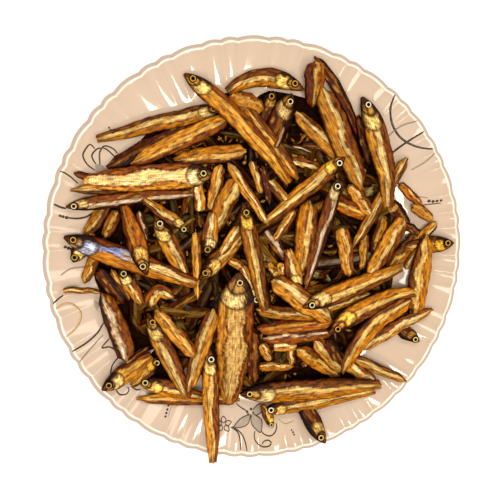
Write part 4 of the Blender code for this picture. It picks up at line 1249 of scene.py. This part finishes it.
def dried_skin(name, sheen):
    """Dried, fried chela skin: oily hide shrunk over the flesh, amber where it is thin.

    It shows long brown streaks about 1 mm apart, a mottle of 4 mm, the marks of the muscle
    rings 1 mm apart, most of all across the silver stripe, and a film of oil.
    """
    made, tree, output = new_material(name)
    coat, lie, shine = (add(tree, "ShaderNodeAttribute", {"attribute_name": key})
                        for key in ("coat", "lie", "shine"))
    on_skin = lie.outputs["Vector"]
    long_way = add(tree, "ShaderNodeMapping", {"Scale": (1.0 / STREAK[0], 1.0 / STREAK[1], 1.0)},
                   {"Vector": on_skin})
    streaks = add(tree, "ShaderNodeTexNoise", {"Scale": 1.0, "Detail": 5.0, "Roughness": 0.6},
                  {"Vector": long_way.outputs["Vector"]})
    fine_way = add(tree, "ShaderNodeMapping", {"Scale": (1.0 / SPECK[0], 1.0 / SPECK[1], 1.0)},
                   {"Vector": on_skin})
    fine = add(tree, "ShaderNodeTexNoise", {"Scale": 1.0, "Detail": 6.0, "Roughness": 0.7},
               {"Vector": fine_way.outputs["Vector"]})
    rings = add(tree, "ShaderNodeTexWave",
                {"Scale": WAVE_TURN / RING_PITCH, "Distortion": 5.0, "Detail": 2.0, "Detail Scale": 1.2},
                {"Vector": on_skin})
    mottle = add(tree, "ShaderNodeTexNoise", {"Scale": 1.0 / MOTTLE, "Detail": 3.0, "Roughness": 0.55},
                 {"Vector": on_skin})

    amber = add(tree, "ShaderNodeMapRange", {"From Min": 0.40, "From Max": 0.62},
                {"Value": streaks.outputs["Fac"]})
    stain = add(tree, "ShaderNodeMix", {"data_type": "RGBA", 6: rgba("#CBB28A"), 7: (1.12, 1.12, 1.08, 1.0)},
                {0: amber.outputs["Result"]})
    specks = add(tree, "ShaderNodeMapRange",
                 {"From Min": 0.34, "From Max": 0.5, "To Min": 0.75, "To Max": 1.08},
                 {"Value": fine.outputs["Fac"]})
    clouds = add(tree, "ShaderNodeMapRange",
                 {"From Min": 0.34, "From Max": 0.64, "To Min": 0.8, "To Max": 1.25},
                 {"Value": mottle.outputs["Fac"]})
    rows = add(tree, "ShaderNodeMapRange",
               {"From Min": 0.2, "From Max": 0.7, "To Min": 0.84, "To Max": 1.06},
               {"Value": rings.outputs["Fac"]})
    lit_rows = add(tree, "ShaderNodeMix", {"data_type": "FLOAT", 2: 1.0},
                   {0: shine.outputs["Fac"], 3: rows.outputs["Result"]})
    ringed = add(tree, "ShaderNodeMapRange", {"To Min": 0.95, "To Max": 1.04},
                 {"Value": rings.outputs["Fac"]})
    level = specks.outputs["Result"]
    for share in (clouds.outputs["Result"], ringed.outputs["Result"], lit_rows.outputs[0]):
        level = add(tree, "ShaderNodeMath", {"operation": "MULTIPLY"}, {0: level, 1: share}).outputs["Value"]
    stained = add(tree, "ShaderNodeVectorMath", {"operation": "MULTIPLY"},
                  {0: coat.outputs["Vector"], 1: stain.outputs[2]})
    tone = add(tree, "ShaderNodeVectorMath", {"operation": "SCALE"},
               {0: stained.outputs["Vector"], "Scale": level})

    roughness = add(tree, "ShaderNodeMapRange",
                    {"From Min": 0.3, "From Max": 0.7, "To Min": 0.24, "To Max": 0.5},
                    {"Value": mottle.outputs["Fac"]})
    metal = add(tree, "ShaderNodeMath", {"operation": "MULTIPLY", 1: 0.3}, {0: shine.outputs["Fac"]})
    height = streaks.outputs["Fac"]
    for finer in (rings, fine):
        height = add(tree, "ShaderNodeMath", {"operation": "MULTIPLY_ADD", 1: 0.5},
                     {0: finer.outputs["Fac"], 2: height}).outputs["Value"]
    bump = add(tree, "ShaderNodeBump", {"Strength": 0.6, "Distance": 0.3 * MM}, {"Height": height})
    shader = add(tree, "ShaderNodeBsdfPrincipled",
                 {"IOR": 1.4, "Specular IOR Level": sheen},
                 {"Base Color": tone.outputs["Vector"], "Roughness": roughness.outputs["Result"],
                  "Metallic": metal.outputs["Value"], "Normal": bump.outputs["Normal"]})
    tree.links.new(shader.outputs["BSDF"], output.inputs["Surface"])
    return made


def glaze():
    """Cream glazed ware: fired glass over a pale body, so smooth and bright, with faint cloudy warmth.

    A pale line along the crest of the edge is a painted highlight, and the greyer rim beyond it is painted
    shade.
    """
    made, tree, output = new_material("cream_glaze")
    spot = add(tree, "ShaderNodeTexCoord")
    cloud = add(tree, "ShaderNodeTexNoise", {"Scale": 1.0 / (CLOUD * MM), "Detail": 2.0},
                {"Vector": spot.outputs["Object"]})
    tint = add(tree, "ShaderNodeMix", {"data_type": "RGBA", 6: rgba("#CCB8A8"), 7: rgba("#C8B29A")},
               {0: cloud.outputs["Fac"]})
    crest = add(tree, "ShaderNodeAttribute", {"attribute_name": "crest"})
    outer_rim_shade = add(tree, "ShaderNodeAttribute", {"attribute_name": "outer_rim_shade"})
    # Painted shade: the rim outside the crest turns greyer
    edged = add(tree, "ShaderNodeMix", {"data_type": "RGBA", 7: rgba("#B5A498")},
                {0: outer_rim_shade.outputs["Fac"], 6: tint.outputs[2]})
    # Painted highlight: a pale line along the crest
    crest_highlight_tone = add(tree, "ShaderNodeMix", {"data_type": "RGBA", 7: rgba("#EEE2D4")},
                  {0: crest.outputs["Fac"], 6: edged.outputs[2]})
    shader = add(tree, "ShaderNodeBsdfPrincipled",
                 {"Roughness": 0.09, "IOR": 1.5, "Coat Weight": 0.3, "Coat Roughness": 0.03},
                 {"Base Color": crest_highlight_tone.outputs[2]})
    tree.links.new(shader.outputs["BSDF"], output.inputs["Surface"])
    return made


def printed_ink(name, colour):
    """Ceramic ink printed and fired on the ware: flat colour, thinner in its grain, with a soft shine."""
    made, tree, output = new_material(name)
    spot = add(tree, "ShaderNodeTexCoord")
    grain = add(tree, "ShaderNodeTexNoise", {"Scale": 1.0 / (INK_GRAIN * MM)},
                {"Vector": spot.outputs["Object"]})
    thin = add(tree, "ShaderNodeMapRange", {"To Max": 0.2}, {"Value": grain.outputs["Fac"]})
    tint = add(tree, "ShaderNodeMix", {"data_type": "RGBA", 6: rgba(colour), 7: rgba("#8A7C68")},
               {0: thin.outputs["Result"]})
    shader = add(tree, "ShaderNodeBsdfPrincipled", {"Roughness": 0.2, "IOR": 1.5},
                 {"Base Color": tint.outputs[2]})
    tree.links.new(shader.outputs["BSDF"], output.inputs["Surface"])
    return made


def eye_glass():
    """A dried eye: a black pupil up to 2.2 mm across, a pale ring and a dark rim under a dull clear skin."""
    made, tree, output = new_material("dried_eye")
    ring = add(tree, "ShaderNodeAttribute", {"attribute_name": "ring"})
    iris = add(tree, "ShaderNodeAttribute", {"attribute_name": "iris"})
    ramp = add(tree, "ShaderNodeValToRGB", {}, {"Fac": ring.outputs["Fac"]})
    stops = ramp.color_ramp.elements
    stops[0].position, stops[0].color = 0.42, rgba("#050302")
    stops[1].position, stops[1].color = 0.5, rgba("#E8E8E8")
    for from_middle, colour in ((0.66, "#FFFFFF"), (0.75, "#140A05")):
        stops.new(from_middle).color = rgba(colour)
    tone = add(tree, "ShaderNodeVectorMath", {"operation": "MULTIPLY"},
               {0: ramp.outputs["Color"], 1: iris.outputs["Vector"]})
    shader = add(tree, "ShaderNodeBsdfPrincipled",
                 {"Roughness": 0.3, "IOR": 1.38, "Specular IOR Level": 0.04},
                 {"Base Color": tone.outputs["Vector"]})
    tree.links.new(shader.outputs["BSDF"], output.inputs["Surface"])
    return made


def crumbs_in_painted_shade():
    """Crumbs of dried fish, 2.4 mm wide, almost black with brown edges: partly their own dark colour, partly
    painted shade in the heap's gaps.
    """
    made, tree, output = new_material("crumbled_fish_painted_shade")
    spot = add(tree, "ShaderNodeTexCoord")
    flake = add(tree, "ShaderNodeTexVoronoi", {"Scale": 1.0 / (CRUMB * MM)},
                {"Vector": spot.outputs["Object"]})
    tone = add(tree, "ShaderNodeMix", {"data_type": "RGBA", 6: rgba("#050201"), 7: rgba("#241004")},
               {0: flake.outputs["Distance"]})
    bump = add(tree, "ShaderNodeBump", {"Strength": 1.0, "Distance": 0.8 * MM},
               {"Height": flake.outputs["Distance"]})
    shader = add(tree, "ShaderNodeBsdfPrincipled", {"Roughness": 0.8, "Specular IOR Level": 0.02},
                 {"Base Color": tone.outputs[2], "Normal": bump.outputs["Normal"]})
    tree.links.new(shader.outputs["BSDF"], output.inputs["Surface"])
    return made


def plain_floor():
    """A plain matt white sweep under the plate."""
    made, tree, output = new_material("white_floor")
    shader = add(tree, "ShaderNodeBsdfPrincipled", {"Base Color": rgba("#FAFAFA"), "Roughness": 0.9})
    tree.links.new(shader.outputs["BSDF"], output.inputs["Surface"])
    return made


# The stage

# Each soft light: its place in metres, its two sides, its power in watts and its colour
LIGHTS = {
    "softbox": ((-0.1, -0.12, 1.3), (0.6, 0.5), 13.5, "#FFF6EA"),
    "right_window": ((0.95, 0.35, 0.9), (0.9, 0.4), 4.2, "#FFF4E4"),
    "left_window": ((-0.9, -0.5, 0.9), (0.5, 0.3), 3.5, "#FFF1DC"),
    "front_lamp": ((0.45, -0.8, 1.05), (0.3, 0.16), 4.0, "#FFF1DC"),
    "back_lamp": ((-0.1, 0.9, 1.0), (0.3, 0.16), 4.0, "#FFF1DC"),
}
SURROUND = 0.3
FLOOR_HALF = 3.0


def stand(name, data, across, up, back, spot):
    """Put a lamp or a camera at a spot, turned to look against back."""
    made = bpy.data.objects.new(name, data)
    rows = [(across[k], up[k], back[k], spot[k]) for k in range(3)]
    made.matrix_world = Matrix(rows + [(0.0, 0.0, 0.0, 1.0)])
    bpy.context.scene.collection.objects.link(made)
    return made


def soft_light(name, spot, size, power, colour):
    """An oblong soft light at a spot, turned towards the plate's middle."""
    data = bpy.data.lights.new(name, "AREA")
    data.shape = "RECTANGLE"
    data.size, data.size_y = size
    data.energy = power
    data.color = linear(colour)
    back = np.array(spot) / np.linalg.norm(spot)
    stand(name, data, *facing(back), back, spot)


def stage(floor_material):
    """The pale floor, the soft lights and the white surround."""
    corners = FLOOR_HALF * np.array(((-1.0, -1.0, 0.0), (1.0, -1.0, 0.0), (1.0, 1.0, 0.0), (-1.0, 1.0, 0.0)))
    floor = make_piece("floor", corners, np.array([[0, 1, 2, 3]]), np.zeros((0, 3)), {}, floor_material)
    for name, values in LIGHTS.items():
        soft_light(name, *values)
    world = bpy.data.worlds.new("surround")
    world.use_nodes = True
    sky = world.node_tree.nodes["Background"].inputs
    sky["Color"].default_value = rgba("#FFFFFF")
    sky["Strength"].default_value = SURROUND
    bpy.context.scene.world = world
    bpy.context.scene.view_settings.view_transform = "Standard"


def camera():
    """The photograph's camera: close, and a little off straight above."""
    data = bpy.data.cameras.new("photo_camera")
    data.lens = data.sensor_width * VIEW_FOCAL / PHOTO_SIDE
    data.shift_x = (0.5 * PHOTO_SIDE - VIEW_CENTRE[0]) / PHOTO_SIDE
    data.shift_y = (VIEW_CENTRE[1] - 0.5 * PHOTO_SIDE) / PHOTO_SIDE
    bpy.context.scene.camera = stand("photo_camera", data, ACROSS, UP, BACK, EYE)


def main():
    """Lay the heap, build every piece in its finish, and set the stage."""
    skin = dried_skin("dried_chela_skin", 0.16)
    # The hidden fish: the same skin with almost no sheen, over the painted shade in their coat
    low_sheen_skin = dried_skin("low_sheen_chela_skin", 0.03)
    shown, buried, eyes, scraps, middle = build_fish(Heap())
    fish = [middle.piece("heap_middle", crumbs_in_painted_shade()), shown["whole"].piece("whole_fish", skin),
            shown["strip"].piece("fish_strips", skin), shown["split"].piece("split_fish", skin),
            buried.piece("buried_fish", low_sheen_skin), eyes.piece("fish_eyes", eye_glass()),
            scraps.piece("skin_scraps", skin)]
    inks = {tone: printed_ink(name, colour) for tone, (name, colour) in INKS.items()}
    dish = [plate_surface(glaze()), *add_print(inks)]
    for piece in fish:
        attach(piece, "root")
    for piece in dish:
        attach(piece, "root")
    for piece in fish:
        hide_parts("fish_heap")
    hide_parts("plate")
    stage(plain_floor())
    camera()


main()
